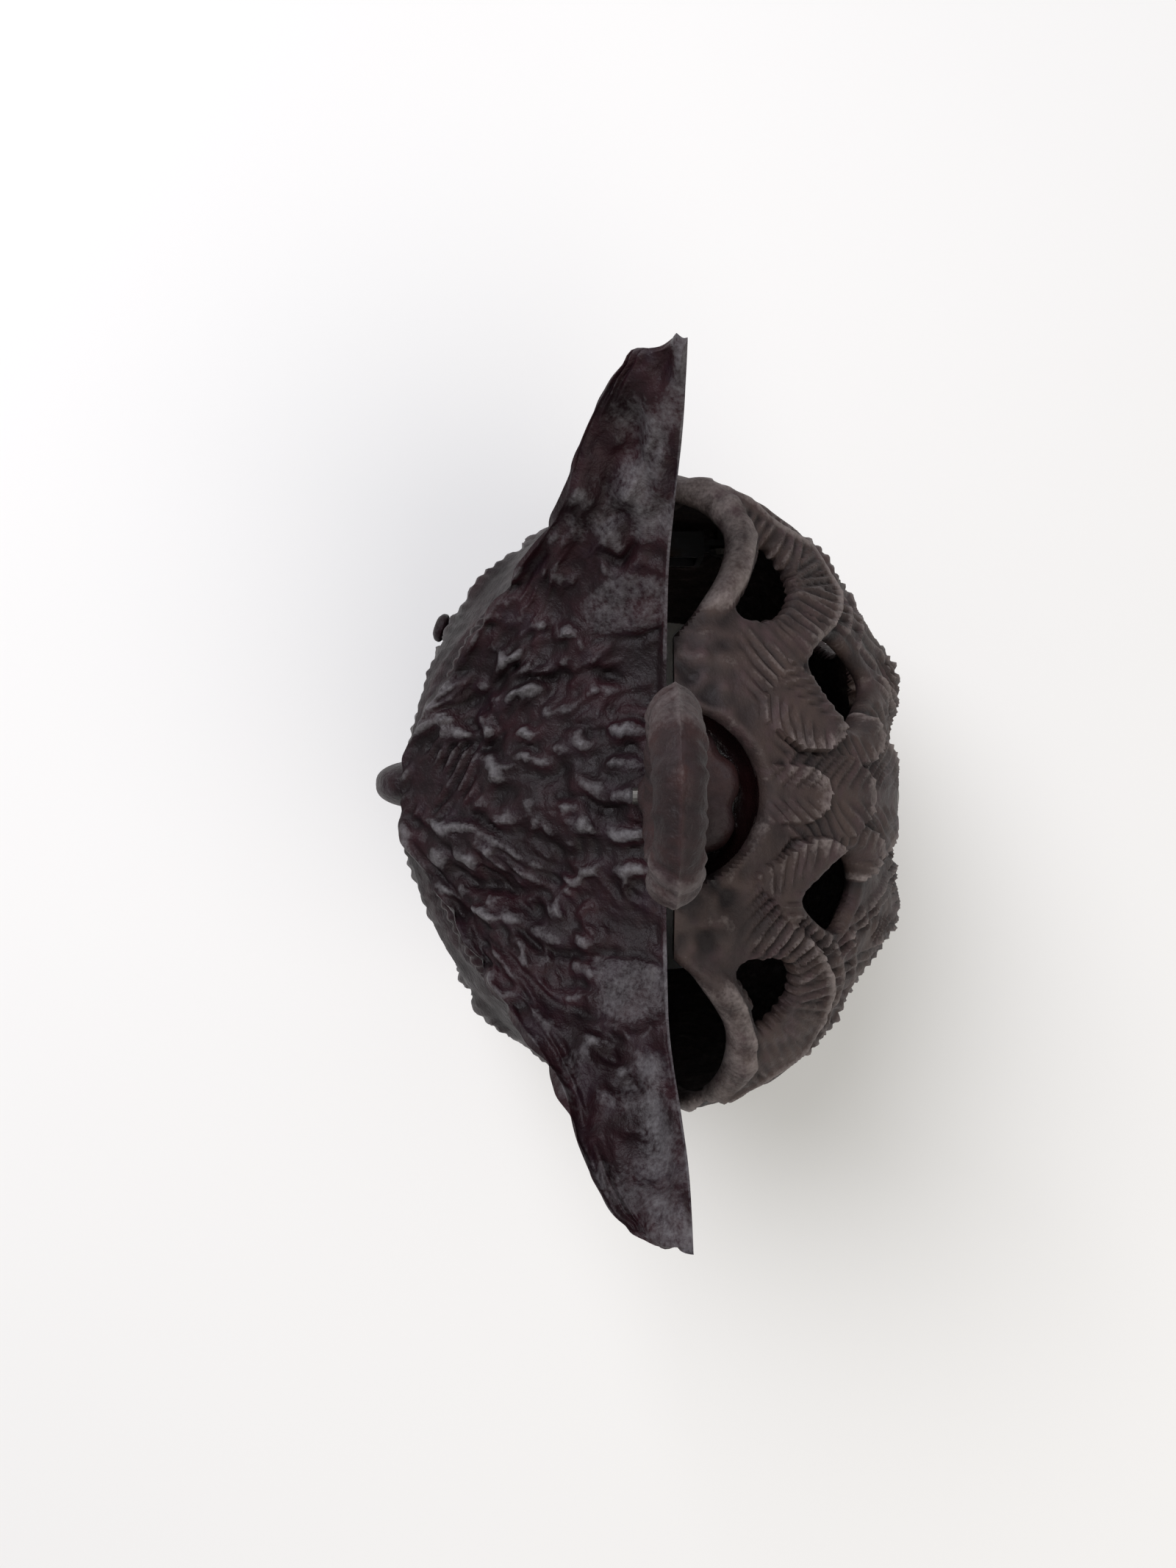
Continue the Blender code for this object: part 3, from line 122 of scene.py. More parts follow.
def alongLine(points, line):
    # For an open broken line: how far each 2-D point lies to its left, and how far along it.
    line = np.array(line, float)
    best = np.full(len(points), 1e9)
    away, along = np.zeros(len(points)), np.zeros(len(points))
    walked = 0.0
    for a, b in zip(line[:-1], line[1:]):
        length = np.linalg.norm(b - a)
        step = (b - a) / length
        share = (points - a) @ step
        off = points - a - np.clip(share, 0, length)[:, None] * step
        far = np.linalg.norm(off, axis=1)
        side = np.sign(step[0] * (points[:, 1] - a[1]) - step[1] * (points[:, 0] - a[0]))
        nearer = far < best
        best = np.where(nearer, far, best)
        away = np.where(nearer, far * side, away)
        along = np.where(nearer, walked + np.clip(share, 0, length), along)
        walked += length
    return away, along


def gridFaces(columns, rows, around=False, closed=False, first=0):
    # Quads of a grid whose points run row by row within each column.
    lines, ranks = columns if around else columns - 1, rows if closed else rows - 1
    i, j = np.meshgrid(np.arange(lines), np.arange(ranks), indexing="ij")
    a, b = i * rows + j, ((i + 1) % columns) * rows + j
    up = (j + 1) % rows - j
    return first + np.stack([a, b, b + up, a + up], axis=-1).reshape(-1, 4)


def signedVolume(points, faces):
    # Six times the volume: the sum over fan triangles of a . (b x c).
    corners = np.concatenate([faces[k][:, [0, m, m + 1]] for k in range(len(faces))
                              for m in range(1, faces[k].shape[1] - 1)])
    a, b, c = (points[corners[:, k]] for k in range(3))
    return np.einsum("ij,ij->i", a, np.cross(b, c)).sum()


def addObject(name, data):
    made = bpy.data.objects.new(name, data)
    bpy.context.scene.collection.objects.link(made)
    return made


def addPiece(name, points, faces, body, finish, nodes=(), crest=0.4, flat=40):
    # Mesh from points in mm and a list of face arrays. It rides on a body and may stand for nodes.
    # The crest value, one for all or one a point, tells its finish where hands have greyed it by rubbing
    # with a painted highlight on the crests, and where low values give painted shade in the hollows.
    mesh = bpy.data.meshes.new(name)
    world = (np.asarray(points, float).reshape(-1, 3) + homePoint) * mm
    mesh.from_pydata(world.tolist(), [], [face for group in faces for face in group.tolist()])
    layer = mesh.attributes.new("crest", "FLOAT", "POINT")
    layer.data.foreach_set("value", np.array(np.broadcast_to(crest, len(world)), np.float32))
    mesh.validate()
    mesh.shade_smooth()
    mesh.set_sharp_from_angle(angle=math.radians(flat))
    piece = addObject(name, mesh)
    mesh.materials.append(finish)
    if signedVolume(world, faces) < 0:
        mesh.flip_normals()
    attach(piece, body)
    if nodes:
        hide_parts(*nodes)
    return piece


def joined(parts):
    # Several (points, face arrays) bodies as one.
    points, faces, first = [], [], 0
    for spots, groups in parts:
        points.append(spots)
        faces += [group + first for group in groups]
        first += len(spots)
    return np.concatenate(points), faces


def capped(body, columns, rows, low, high):
    # Closes a grid that runs round a body with a fan of triangles to a point at each end.
    i = np.arange(columns)
    first, after = 0 * i + len(body), (i + 1) % columns
    foot = np.stack([first, after * rows, i * rows], axis=1)
    head = np.stack([first + 1, i * rows + rows - 1, after * rows + rows - 1], axis=1)
    return np.concatenate([body, [low, high]]), [gridFaces(columns, rows, around=True), foot, head]


def turnedBody(profile, place, axis=(0, 0, 1), sides=48, bored=False):
    # A profile of (radius, height) pairs carried round an axis. Both ends close in a point, or the
    # profile is a loop that leaves a bore.
    profile = np.array(profile, float)
    turn = fullTurn(sides)[:, None]
    spots = np.stack([profile[:, 0] * np.cos(turn), profile[:, 0] * np.sin(turn),
                      np.broadcast_to(profile[:, 1], (sides, len(profile)))], axis=-1)
    up = np.array(axis, float) / np.linalg.norm(axis)
    side = np.cross(up, (0, 0, 1) if abs(up[2]) < 0.9 else (0, 1, 0))
    side /= np.linalg.norm(side)
    body = spots.reshape(-1, 3) @ np.stack([side, np.cross(up, side), up]) + np.array(place)
    if bored:
        return body, [gridFaces(sides, len(profile), around=True, closed=True)]
    low, high = (np.array(place) + up * height for height in (profile[0, 1], profile[-1, 1]))
    return capped(body, sides, len(profile), low, high)


def rounded(profile, radius=0.4, steps=4):
    # Profile whose inner corners become small quadratic curves.
    profile = np.array(profile, float)
    made = [profile[:1]]
    for a, b, c in zip(profile[:-2], profile[1:-1], profile[2:]):
        near, far = np.linalg.norm(a - b), np.linalg.norm(c - b)
        start = b + (a - b) * min(0.48, radius / near)
        end = b + (c - b) * min(0.48, radius / far)
        t = np.linspace(0, 1, steps)[:, None]
        made.append((1 - t) ** 2 * start + 2 * t * (1 - t) * b + t * t * end)
    return np.concatenate(made + [profile[-1:]])


def linearColour(code):
    # sRGB hex to linear, with full alpha.
    parts = [int(code[k:k + 2], 16) / 255 for k in (1, 3, 5)]
    return [c / 12.92 if c <= 0.04045 else ((c + 0.055) / 1.055) ** 2.4 for c in parts] + [1.0]


def addNode(tree, kind, inputs=None, **settings):  # an input is a value, or a socket to link
    made = tree.nodes.new("ShaderNode" + kind)
    for key, value in settings.items():
        setattr(made, key, value)
    for key, value in (inputs or {}).items():
        if isinstance(value, bpy.types.NodeSocket):
            tree.links.new(value, made.inputs[key])
        else:
            made.inputs[key].default_value = value
    return made


hollowShadeTone = "#0f080a"  # painted shade: low crest values, the hollows of every casting, are darkened towards this colour


def newFinish(name):
    made = bpy.data.materials.new(name)
    made.use_nodes = True
    tree = made.node_tree
    return made, tree, tree.nodes["Principled BSDF"], addNode(tree, "TexCoord").outputs["Object"]


def castIron(name, dark, brown, tint, grey, roughness, rubbedAndLit=0.5, shine=0.5, grain=1.0,
             patchSize=9):
    # Sand-cast iron under old wax: oxide in two hues on a darker skin, painted shade in the hollows,
    # crests greyed by rubbing down to metal and by a painted highlight, and the pimpled skin that the
    # mould's sand leaves.
    made, tree, shader, place = newFinish(name)

    def cloud(size, low, high, detail=4.0, outLow=0.0, outHigh=1.0):
        # Noise with lumps of a size in mm, plain and spread between two limits.
        noise = addNode(tree, "TexNoise", {"Vector": place, "Scale": 1 / (size * mm),
                                           "Detail": detail, "Roughness": 0.62}).outputs["Fac"]
        spread = addNode(tree, "MapRange", {"Value": noise, "From Min": low, "From Max": high,
                                            "To Min": outLow, "To Max": outHigh})
        return noise, spread.outputs[0]

    _, patches = cloud(patchSize, 0.4, 0.62)
    _, tints = cloud(0.55 * patchSize, 0.5, 0.68, 3.0)
    # Grains of 0.7 mm: real moulding sand is finer, and this is as coarse as it has to be to show.
    sand, _ = cloud(0.7, 0, 1)
    smear, rough = cloud(4, 0.3, 0.7, 3.0, roughness - 0.1, roughness + 0.1)
    pits, _ = cloud(2.2, 0, 1, 3.0)
    crest = addNode(tree, "Attribute", attribute_name="crest").outputs["Fac"]
    speckle = addNode(tree, "Math", {0: sand, 1: smear}, operation="ADD")
    # Noise lies round 0.5, so the two together lie round 1: they thin the grey out, never add to it.
    # Grey share: metal bared by rubbing on the crests, together with a painted highlight there.
    wornAndHighlit = addNode(tree, "Math", {0: crest, 1: speckle.outputs[0]}, operation="MULTIPLY")
    bareAndHighlit = addNode(tree, "MapRange", {"Value": wornAndHighlit.outputs[0], "From Min": 0.9 - 0.5 * rubbedAndLit,
                                      "From Max": 1.15, "To Max": 0.9})
    # Painted shade: the lower the crest value, the more of the hollow tone.
    hollow = addNode(tree, "MapRange", {"Value": crest, "From Min": 0.0, "From Max": 0.44,
                                        "To Min": 0.9, "To Max": 0.0})
    colour = linearColour(dark)
    for share, code in ((patches, brown), (tints, tint), (bareAndHighlit.outputs[0], grey),
                        (hollow.outputs[0], hollowShadeTone)):
        colour = addNode(tree, "Mix", {0: share, 6: colour, 7: linearColour(code)},
                         data_type="RGBA").outputs[2]
    tree.links.new(colour, shader.inputs["Base Color"])
    tree.links.new(rough, shader.inputs["Roughness"])
    shader.inputs["Specular IOR Level"].default_value = shine
    pitted = addNode(tree, "Bump", {"Height": pits, "Strength": 0.5, "Distance": 0.45 * mm * grain})
    grained = addNode(tree, "Bump", {"Height": sand, "Strength": 0.7, "Distance": 0.22 * mm * grain,
                                     "Normal": pitted.outputs[0]})
    tree.links.new(grained.outputs[0], shader.inputs["Normal"])
    return made


def turnedSteel(name, tone, roughness):
    # Bright-drawn steel, turned: fine rings round the axis and a little brown where oil has dried.
    made, tree, shader, place = newFinish(name)
    stain = addNode(tree, "TexNoise", {"Vector": place, "Scale": 1 / (6 * mm), "Detail": 4.0})
    share = addNode(tree, "MapRange", {"Value": stain.outputs["Fac"], "From Min": 0.5, "From Max": 0.75})
    colour = addNode(tree, "Mix", {0: share.outputs[0], 6: linearColour(tone), 7: linearColour("#4b3c30")},
                     data_type="RGBA")
    tree.links.new(colour.outputs[2], shader.inputs["Base Color"])
    rough = addNode(tree, "MapRange", {"Value": stain.outputs["Fac"], "To Min": roughness - 0.08,
                                       "To Max": roughness + 0.22})
    tree.links.new(rough.outputs[0], shader.inputs["Roughness"])
    shader.inputs["Metallic"].default_value = 1.0
    # Turning marks 0.35 mm apart, coarser than a real lathe's so that they show.
    marks = addNode(tree, "TexWave", {"Vector": place, "Scale": 1 / (6.3 * 0.35 * mm), "Distortion": 0.6},
                    bands_direction="Z")
    lines = addNode(tree, "Bump", {"Height": marks.outputs["Fac"], "Strength": 0.25, "Distance": 0.03 * mm})
    tree.links.new(lines.outputs[0], shader.inputs["Normal"])
    return made


# Cast iron: dark, brown, tint and grey, then how rough it is. The grey is metal bared on the crests by
# rubbing, with a painted highlight there.
doorIron = castIron("waxedCastIron", "#14060a", "#240d13", "#1f1118", "#646163", 0.5,
                    rubbedAndLit=0.62, shine=0.22, grain=1.4)
backIron = castIron("dryCastIron", "#2e2423", "#3f322e", "#3d2e2f", "#7d7370", 0.64,
                    rubbedAndLit=0.7, shine=0.28)
gripIron = castIron("handledCastIron", "#231415", "#321d1c", "#2f2123", "#5d5453", 0.58,
                    rubbedAndLit=0.6, shine=0.3, grain=1.3, patchSize=6)
pressIron = castIron("oiledCastIron", "#151112", "#221b1c", "#1d1819", "#4a494c", 0.42)
pocketIron = castIron("oilStainedIron", "#170b0b", "#241010", "#1d0d0d", "#3b2826", 0.25, rubbedAndLit=0.2)
screwSteel = turnedSteel("turnedSteel", "#7d7a76", 0.34)
springSteel = turnedSteel("springSteel", "#5f5f62", 0.3)
onDoor = dict(body="door", finish=doorIron, nodes=["front_shell"])
onBack = dict(body="body", finish=backIron, nodes=["back_shell"])
print("finishes ready")

# The owl's forms, in mm.
owl = dict(bellyLow=50, bellyHigh=85, shoulder=118, crown=152, doorCrown=154, ear=178,
           baseHalf=50, bellyHalf=58, shoulderHalf=54, earHalf=57,
           frontBase=44, frontBelly=49, frontChest=47, brow=41.5,
           backBase=50, backBelly=48, backChest=45.5, fanRise=6.2,
           frontCorner=1.15, backCorner=0.72, wall=3, seam=0.65,
           screwY=-0.9, notch=4.1, pocket=14.5, hingeX=61.5, thicker=5.4)
# The brow and the crown against the share of the half width: how high the brow stands on its way
# to the ear, how far forward it reaches, and how the crown climbs to the ear.
brow = dict(drop=18, tipDrop=4,
            height=[(0, 0), (0.2, 0.02), (0.42, 0.2), (0.58, 0.35), (0.74, 0.64), (0.94, 0.92), (1, 1)],
            reach=[(0, 1), (0.14, 0.98), (0.28, 0.845), (0.42, 0.72), (0.58, 0.555), (0.74, 0.36),
                   (0.84, 0.305), (0.92, 0.235), (0.97, 0.165), (0.988, 0.115), (1, 0)],
            crown=[(0, 0), (0.35, -0.03), (0.55, 0.13), (0.74, 0.46), (0.9, 0.82), (1, 1)])
neck = owl["bellyHigh"] + 0.4 * (owl["shoulder"] - owl["bellyHigh"])


def halfWidth(z):  # of the body at a height, a curve through five widths
    return through([(0, owl["baseHalf"]), (owl["bellyLow"], owl["bellyHalf"]),
                    (owl["bellyHigh"], owl["bellyHalf"]), (owl["shoulder"], owl["shoulderHalf"]),
                    (owl["ear"], owl["earHalf"])], z)


def depthOf(side, z):  # of the front or the back half, from the seam plane
    return through([(0, owl[side + "Base"]), (owl["bellyLow"], owl[side + "Belly"]),
                    (owl["bellyHigh"], owl[side + "Chest"])], z)


def domeTop(across, crown):  # outline of the crown in the seam plane, a flattened arch
    return owl["shoulder"] + (crown - owl["shoulder"]) * (1 - np.abs(across) ** 2.4) ** (1 / 2.2)


def backForm(angle, rise):
    # Half barrel under half a dome: angle runs round from +X to -X, rise from base to crown.
    across = np.cos(angle)
    top = domeTop(across, owl["crown"])
    z = top * (1 - (1 - rise) ** 1.7)
    x = halfWidth(z) * across
    high = owl["bellyHigh"]
    dome = np.sqrt(np.clip(1 - np.clip((z - high) / (top - high), 0, 1) ** 2, 0, 1))
    level = bump(z, high, 24)
    fans = owl["fanRise"] * bump(np.abs(x), 0.4 * owl["bellyHalf"], 10) * level
    depth = depthOf("back", z) - owl["seam"] + fans - 2 * bump(x, 0, 8) * level
    return np.stack([x, owl["seam"] + depth * np.sin(angle) ** owl["backCorner"] * dome, z], axis=-1)


def seamLine(x):  # the door's edge in the seam plane, with the half round notch for the screw
    hollow = np.sqrt(np.clip(owl["notch"] ** 2 - x ** 2, 0, None))
    return np.where(hollow > 0, np.minimum(-owl["seam"], owl["screwY"] - hollow), -owl["seam"])


def frontForm(angle, row):
    # Rows 0 to 1 climb the body, 1 to 2 the face to the brow, 2 to 3 the roof of the head and ears.
    across = np.cos(angle)
    share = np.abs(across)
    side = np.sin(angle) ** owl["frontCorner"]
    browLow = owl["crown"] - brow["drop"]
    browZ = browLow + (owl["ear"] - brow["tipDrop"] - browLow) * through(brow["height"], share)
    browY = owl["brow"] * through(brow["reach"], share)
    top = owl["doorCrown"] + (owl["ear"] - owl["doorCrown"]) * through(brow["crown"], share)
    body, face, roof = np.clip(row, 0, 1), np.clip(row - 1, 0, 1), np.clip(row - 2, 0, 1)
    z = np.where(row <= 1, neck * body, neck + (browZ - neck) * face)
    dish = 1.8 * bump(share, 0.8, 0.12) * np.sin(np.pi * roof)
    z = np.where(row > 2, browZ + (top - browZ) * (1 - (1 - roof) ** 1.4) - dish, z)
    x = halfWidth(z) * across
    x = x + np.sign(across) * 0.55 * bump(share, 0.985, 0.022) * smooth(1.7, 2, row) * (1 - roof)
    wing = 2.2 * np.clip((np.abs(x) - 0.52 * owl["bellyHalf"]) / 6, 0, 1)
    wing *= np.exp(-(((z - 0.8 * owl["bellyHigh"]) / 34) ** 4))
    bodyY = (depthOf("front", z) - owl["seam"] + wing) * side
    neckY = (depthOf("front", neck) - owl["seam"]) * side
    faceY = neckY + (browY - neckY) * face ** 0.8 - 5 * np.sin(np.pi * face) * side
    y = np.where(row <= 1, bodyY, faceY)
    y = np.where(row > 2, browY * (1 - roof), y)
    y = -owl["seam"] - y + (seamLine(x) + owl["seam"]) * roof ** 6
    # Cast a little long, the ears reach past the seam, more on the hinge side.
    y = y + np.where(x > 0, 1.8, 1.05) * smooth(0.55, 0.9, share) * roof ** 3
    return np.stack([x, y, z], axis=-1)


def frontHollow(angle, rise):
    # Smooth half egg behind the face and the body.
    across = np.cos(angle)
    top = domeTop(across, owl["doorCrown"] - 1.4 * owl["wall"]) - owl["wall"]
    z = top * (1 - (1 - rise) ** 1.7)
    bottom = owl["bellyHigh"] - 15
    dome = (1 - np.clip((z - bottom) / (top - bottom), 0, 1) ** 2.6) ** (1 / 2.6)
    depth = depthOf("front", z) - owl["wall"] - 4 * np.clip((z - bottom) / 25, 0, 1) - owl["seam"]
    # Thicker behind the face, to hold the eyes and the beak.
    depth = depth - owl["thicker"] * smooth(neck - 2, neck + 10, z)
    x = (halfWidth(z) - owl["wall"]) * across
    y = -owl["seam"] - depth * np.sin(angle) ** owl["frontCorner"] * dome
    return np.stack([x, y + (seamLine(x) + owl["seam"]) * rise ** 6, z], axis=-1)


def gridNormals(points):
    # Cross product of the two slopes of a grid of points, turned away from the owl's middle.
    along, up = np.gradient(points, axis=0), np.gradient(points, axis=1)
    normals = np.cross(along, up)
    normals /= np.maximum(np.linalg.norm(normals, axis=-1, keepdims=True), 1e-9)
    out = points - np.array([0, 0, 70])
    return normals * np.sign((normals * out).sum(axis=-1).sum())


def evened(values, count, fineness):
    # Places along 0 to 1 whose spacing follows 1 / fineness, which is given at places in values.
    places = np.linspace(0, 1, 2001)
    total = np.cumsum(np.interp(places, values, fineness))
    total = (total - total[0]) / (total[-1] - total[0])
    return np.interp(np.linspace(0, 1, count), total, places)


feathers = dict(width=12.2, row=12.28, lift=1.2, columns=8, rows=9)


def aroundBelly(x):  # distance round the belly from its middle line
    return np.sign(x) * owl["bellyHalf"] * np.arcsin(np.clip(np.abs(x) / owl["bellyHalf"], 0, 1))


def scalePattern(across, down, seed, ribs=5):
    # Overlapping feathers like roof tiles, 0 to 1 high. Each is a half round tongue that rises
    # towards its edge, where it steps down on the next row; fine ribs fan out over it.
    height = np.zeros_like(across)
    columns, rows = feathers["columns"], feathers["rows"]
    offsets = np.random.default_rng(seed).uniform(-0.1, 0.1, (rows + 1, 2 * columns + 3, 2))
    for row in range(rows, -1, -1):
        for column in range(-columns, columns + 1):
            shift = offsets[row, column + columns]
            middle = (column + 0.5 * (row % 2) + shift[0]) * feathers["width"]
            root = (row - 0.75 + shift[1]) * feathers["row"]
            u = (across - middle) / (0.62 * feathers["width"])
            reach = np.sqrt(np.clip(1 - u * u, 0, 1))
            v = (down - root) / (1.7 * feathers["row"])
            inside = (np.abs(u) < 1) & (v > -0.2) & (v < reach)
            share = np.clip(v / np.maximum(reach, 0.05), 0, 1)
            fan = np.arctan2(u, v + 0.35)
            rib = 0.16 * np.cos(fan * 6.28 * ribs / 1.6) * smooth(0.15, 0.6, share)
            quill = 0.18 * bump(u, 0, 0.08) * smooth(0.0, 0.3, share)
            here = 0.1 + 0.85 * share ** 1.4 * (1 - 0.25 * u * u) + rib + quill
            height = np.where(inside, here, height)
    return height


def leaves(x, y, spots, crossed=0.5):
    # Lumps like small feathers on a plan: each is an ellipse, higher towards its far end, and the
    # highest wins, so that sharp valleys run between them. Two faint lines run along each.
    # A spot is x, y, turn, length, width, height.
    height = np.zeros_like(x)
    for middleX, middleY, turn, length, width, lift in spots:
        near = (np.abs(x - middleX) < length) & (np.abs(y - middleY) < length)
        dx, dy = x[near] - middleX, y[near] - middleY
        v = (dx * np.sin(turn) + dy * np.cos(turn)) / (length / 2)
        u = (dx * np.cos(turn) - dy * np.sin(turn)) / (width / 2)
        body = np.clip(1 - u * u - v * v, 0, 1) ** 0.55 * (1 + 0.13 * np.cos(8 * u + 2 * v))
        height[near] = np.maximum(height[near], lift * body * (1 - crossed + crossed * smooth(-1, 0.7, v)))
    return height


def localMean(grid, reach):
    # Mean over a window of cells round each point of a grid, from running sums both ways.
    for axis in (0, 1):
        wide = np.pad(grid, [(reach + 1, reach) if k == axis else (0, 0) for k in (0, 1)], mode="edge")
        total = np.cumsum(wide, axis=axis)
        count = grid.shape[axis]
        low, high = (np.take(total, np.arange(count) + shift, axis=axis) for shift in (0, 2 * reach + 1))
        grid = (high - low) / (2 * reach + 1)
    return grid


def wearHighlightAndShade(relief, reach, gain):
    # How far each point stands above its surroundings: high places are greyed by rubbing and a painted
    # highlight, low ones get painted shade.
    return np.clip(0.42 + gain * (relief - localMean(relief, reach)), 0, 1)


door = dict(columns=321, rows=241, middleX=-2.5, fanY=-50, lumpHeight=1.6, tuftHeight=0.8, foldHeight=1.0,
            strandHeight=0.9, creaseDepth=1.3, wrinkleDepth=0.8, scallop=6.5,
            eyeX=19, eyeDrop=33, eyeRadius=7.5, ringRadius=12.5, discRadius=17, discLines=34)
# Lumps of the crown: x, y, turn, length, width, height.
crownLumps = [(-20.6, -24.3, 0.4, 4.5, 2.2, 1), (-15.5, -22, -0.35, 6.6, 2.8, 1.1),
              (-10, -28.9, 1.3, 4.4, 2.5, 1.1), (-11, -33, 0.9, 5.4, 2.2, 0.9),
              (-4.5, -20.5, 0.25, 8, 2.3, 1), (1.5, -16, 0.2, 6, 2.6, 1.1),
              (2.7, -32.4, 0.15, 6.8, 2.4, 1.1), (-8.5, -21, -0.2, 5.2, 2.2, 0.8),
              (-8.8, -14, 0.2, 5.4, 2, 0.9), (4.8, -12.7, 0.1, 5, 2, 0.8),
              (5, -19.6, 0.3, 4.8, 1.9, 0.8), (-19.2, -19.4, 0.1, 6.6, 2, 1),
              (-24.8, -15.5, 0.5, 5.6, 2.2, 0.9), (11.9, -13.3, 0.1, 4.8, 1.8, 0.9),
              (15.2, -20.5, -0.1, 4.6, 1.8, 0.9), (17.6, -27.6, 0.5, 5.6, 2.8, 1.3),
              (10, -25.7, 0.5, 6, 3.4, 0.8), (9, -31, 0.8, 6, 3, 0.9),
              (17.2, -12, 0.3, 4.6, 1.8, 0.8), (-2.3, -26, -0.4, 6, 1.8, 0.8),
              (-9.9, -9.6, 0.3, 5, 2, 0.7)]
edgeLumps = [(-9.8, -6, 0.1, 6.8, 3.4, 1.3), (-4.6, -6.2, 0.1, 6.2, 3, 1.1),
             (0.3, -6, 0, 6.6, 3.2, 1.3), (5.6, -6, -0.1, 6.2, 3.2, 1.3),
             (10.8, -5.6, -0.1, 6, 3, 1)]
crownCreases = [[(-17.2, -25), (-17.8, -17), (-18.5, -10.9), (-15.5, -5)], [(-8.6, -36),
                (-7.7, -27.5), (-4, -22.8)], [(3.9, -36), (3.4, -29), (6.5, -23)], [(-35.6, -11.5),
                (-32.6, -8), (-35.2, -4.5)], [(11.5, -34), (14, -27), (14.5, -20)], [(-14, -34),
                (-15.5, -28), (-22, -20)], [(19, -26), (23, -18), (23.5, -8)], [(-1, -14), (2, -10),
                (1, -3)]]
earWrinkles = [[(27, -16), (27.6, -10.5)], [(30.4, -16), (31.6, -9.5)], [(33.2, -12), (34, -6.5)],
               [(36, -12.5), (36.8, -5.5)], [(39.4, -10), (40.2, -4)], [(44, -9), (45, -3.5)],
               [(48.5, -6.5), (49.4, -3)], [(-38, -11), (-39.5, -6)], [(-45, -9.5), (-46, -4.5)]]


def tuftSpots():
    # Small tufts between the lumps, along rays that fan out from in front of the beak.
    chance = np.random.default_rng(5)
    spots = []
    for far in np.arange(12, 60, 3.6):
        for turn in np.arange(-1.2, 1.21, 3.9 / far) + chance.uniform(-1, 1) / far:
            place = turn + chance.uniform(-1.2, 1.2) / far
            x, y = door["middleX"] + far * np.sin(place), door["fanY"] + far * np.cos(place)
            if abs(x) < 33 and y < -2 and chance.random() < 0.22:
                spots.append((x, y, 0.7 * place + chance.uniform(-0.5, 0.5), chance.uniform(2.8, 5.2),
                              chance.uniform(1.3, 2.3), chance.uniform(0.4, 1.0)))
    return spots


def grooves(x, y, lines, width):
    # Narrow furrows along broken lines, fading at their ends.
    depth = np.zeros(x.size)
    spots = np.stack([x.ravel(), y.ravel()], axis=1)
    spots = spots + 0.8 * np.stack([lumpy(spots[:, 1], spots[:, 0], 2, 2, seed) for seed in (51, 52)],
                                   axis=1)
    for line in lines:
        off, along = alongLine(spots, line)
        length = sum(math.dist(a, b) for a, b in zip(line[:-1], line[1:]))
        ends = smooth(0, 0.3 * length, along) * (1 - smooth(0.75 * length, length, along))
        depth = np.maximum(depth, bump(off, 0, width) * ends)
    return depth.reshape(x.shape)


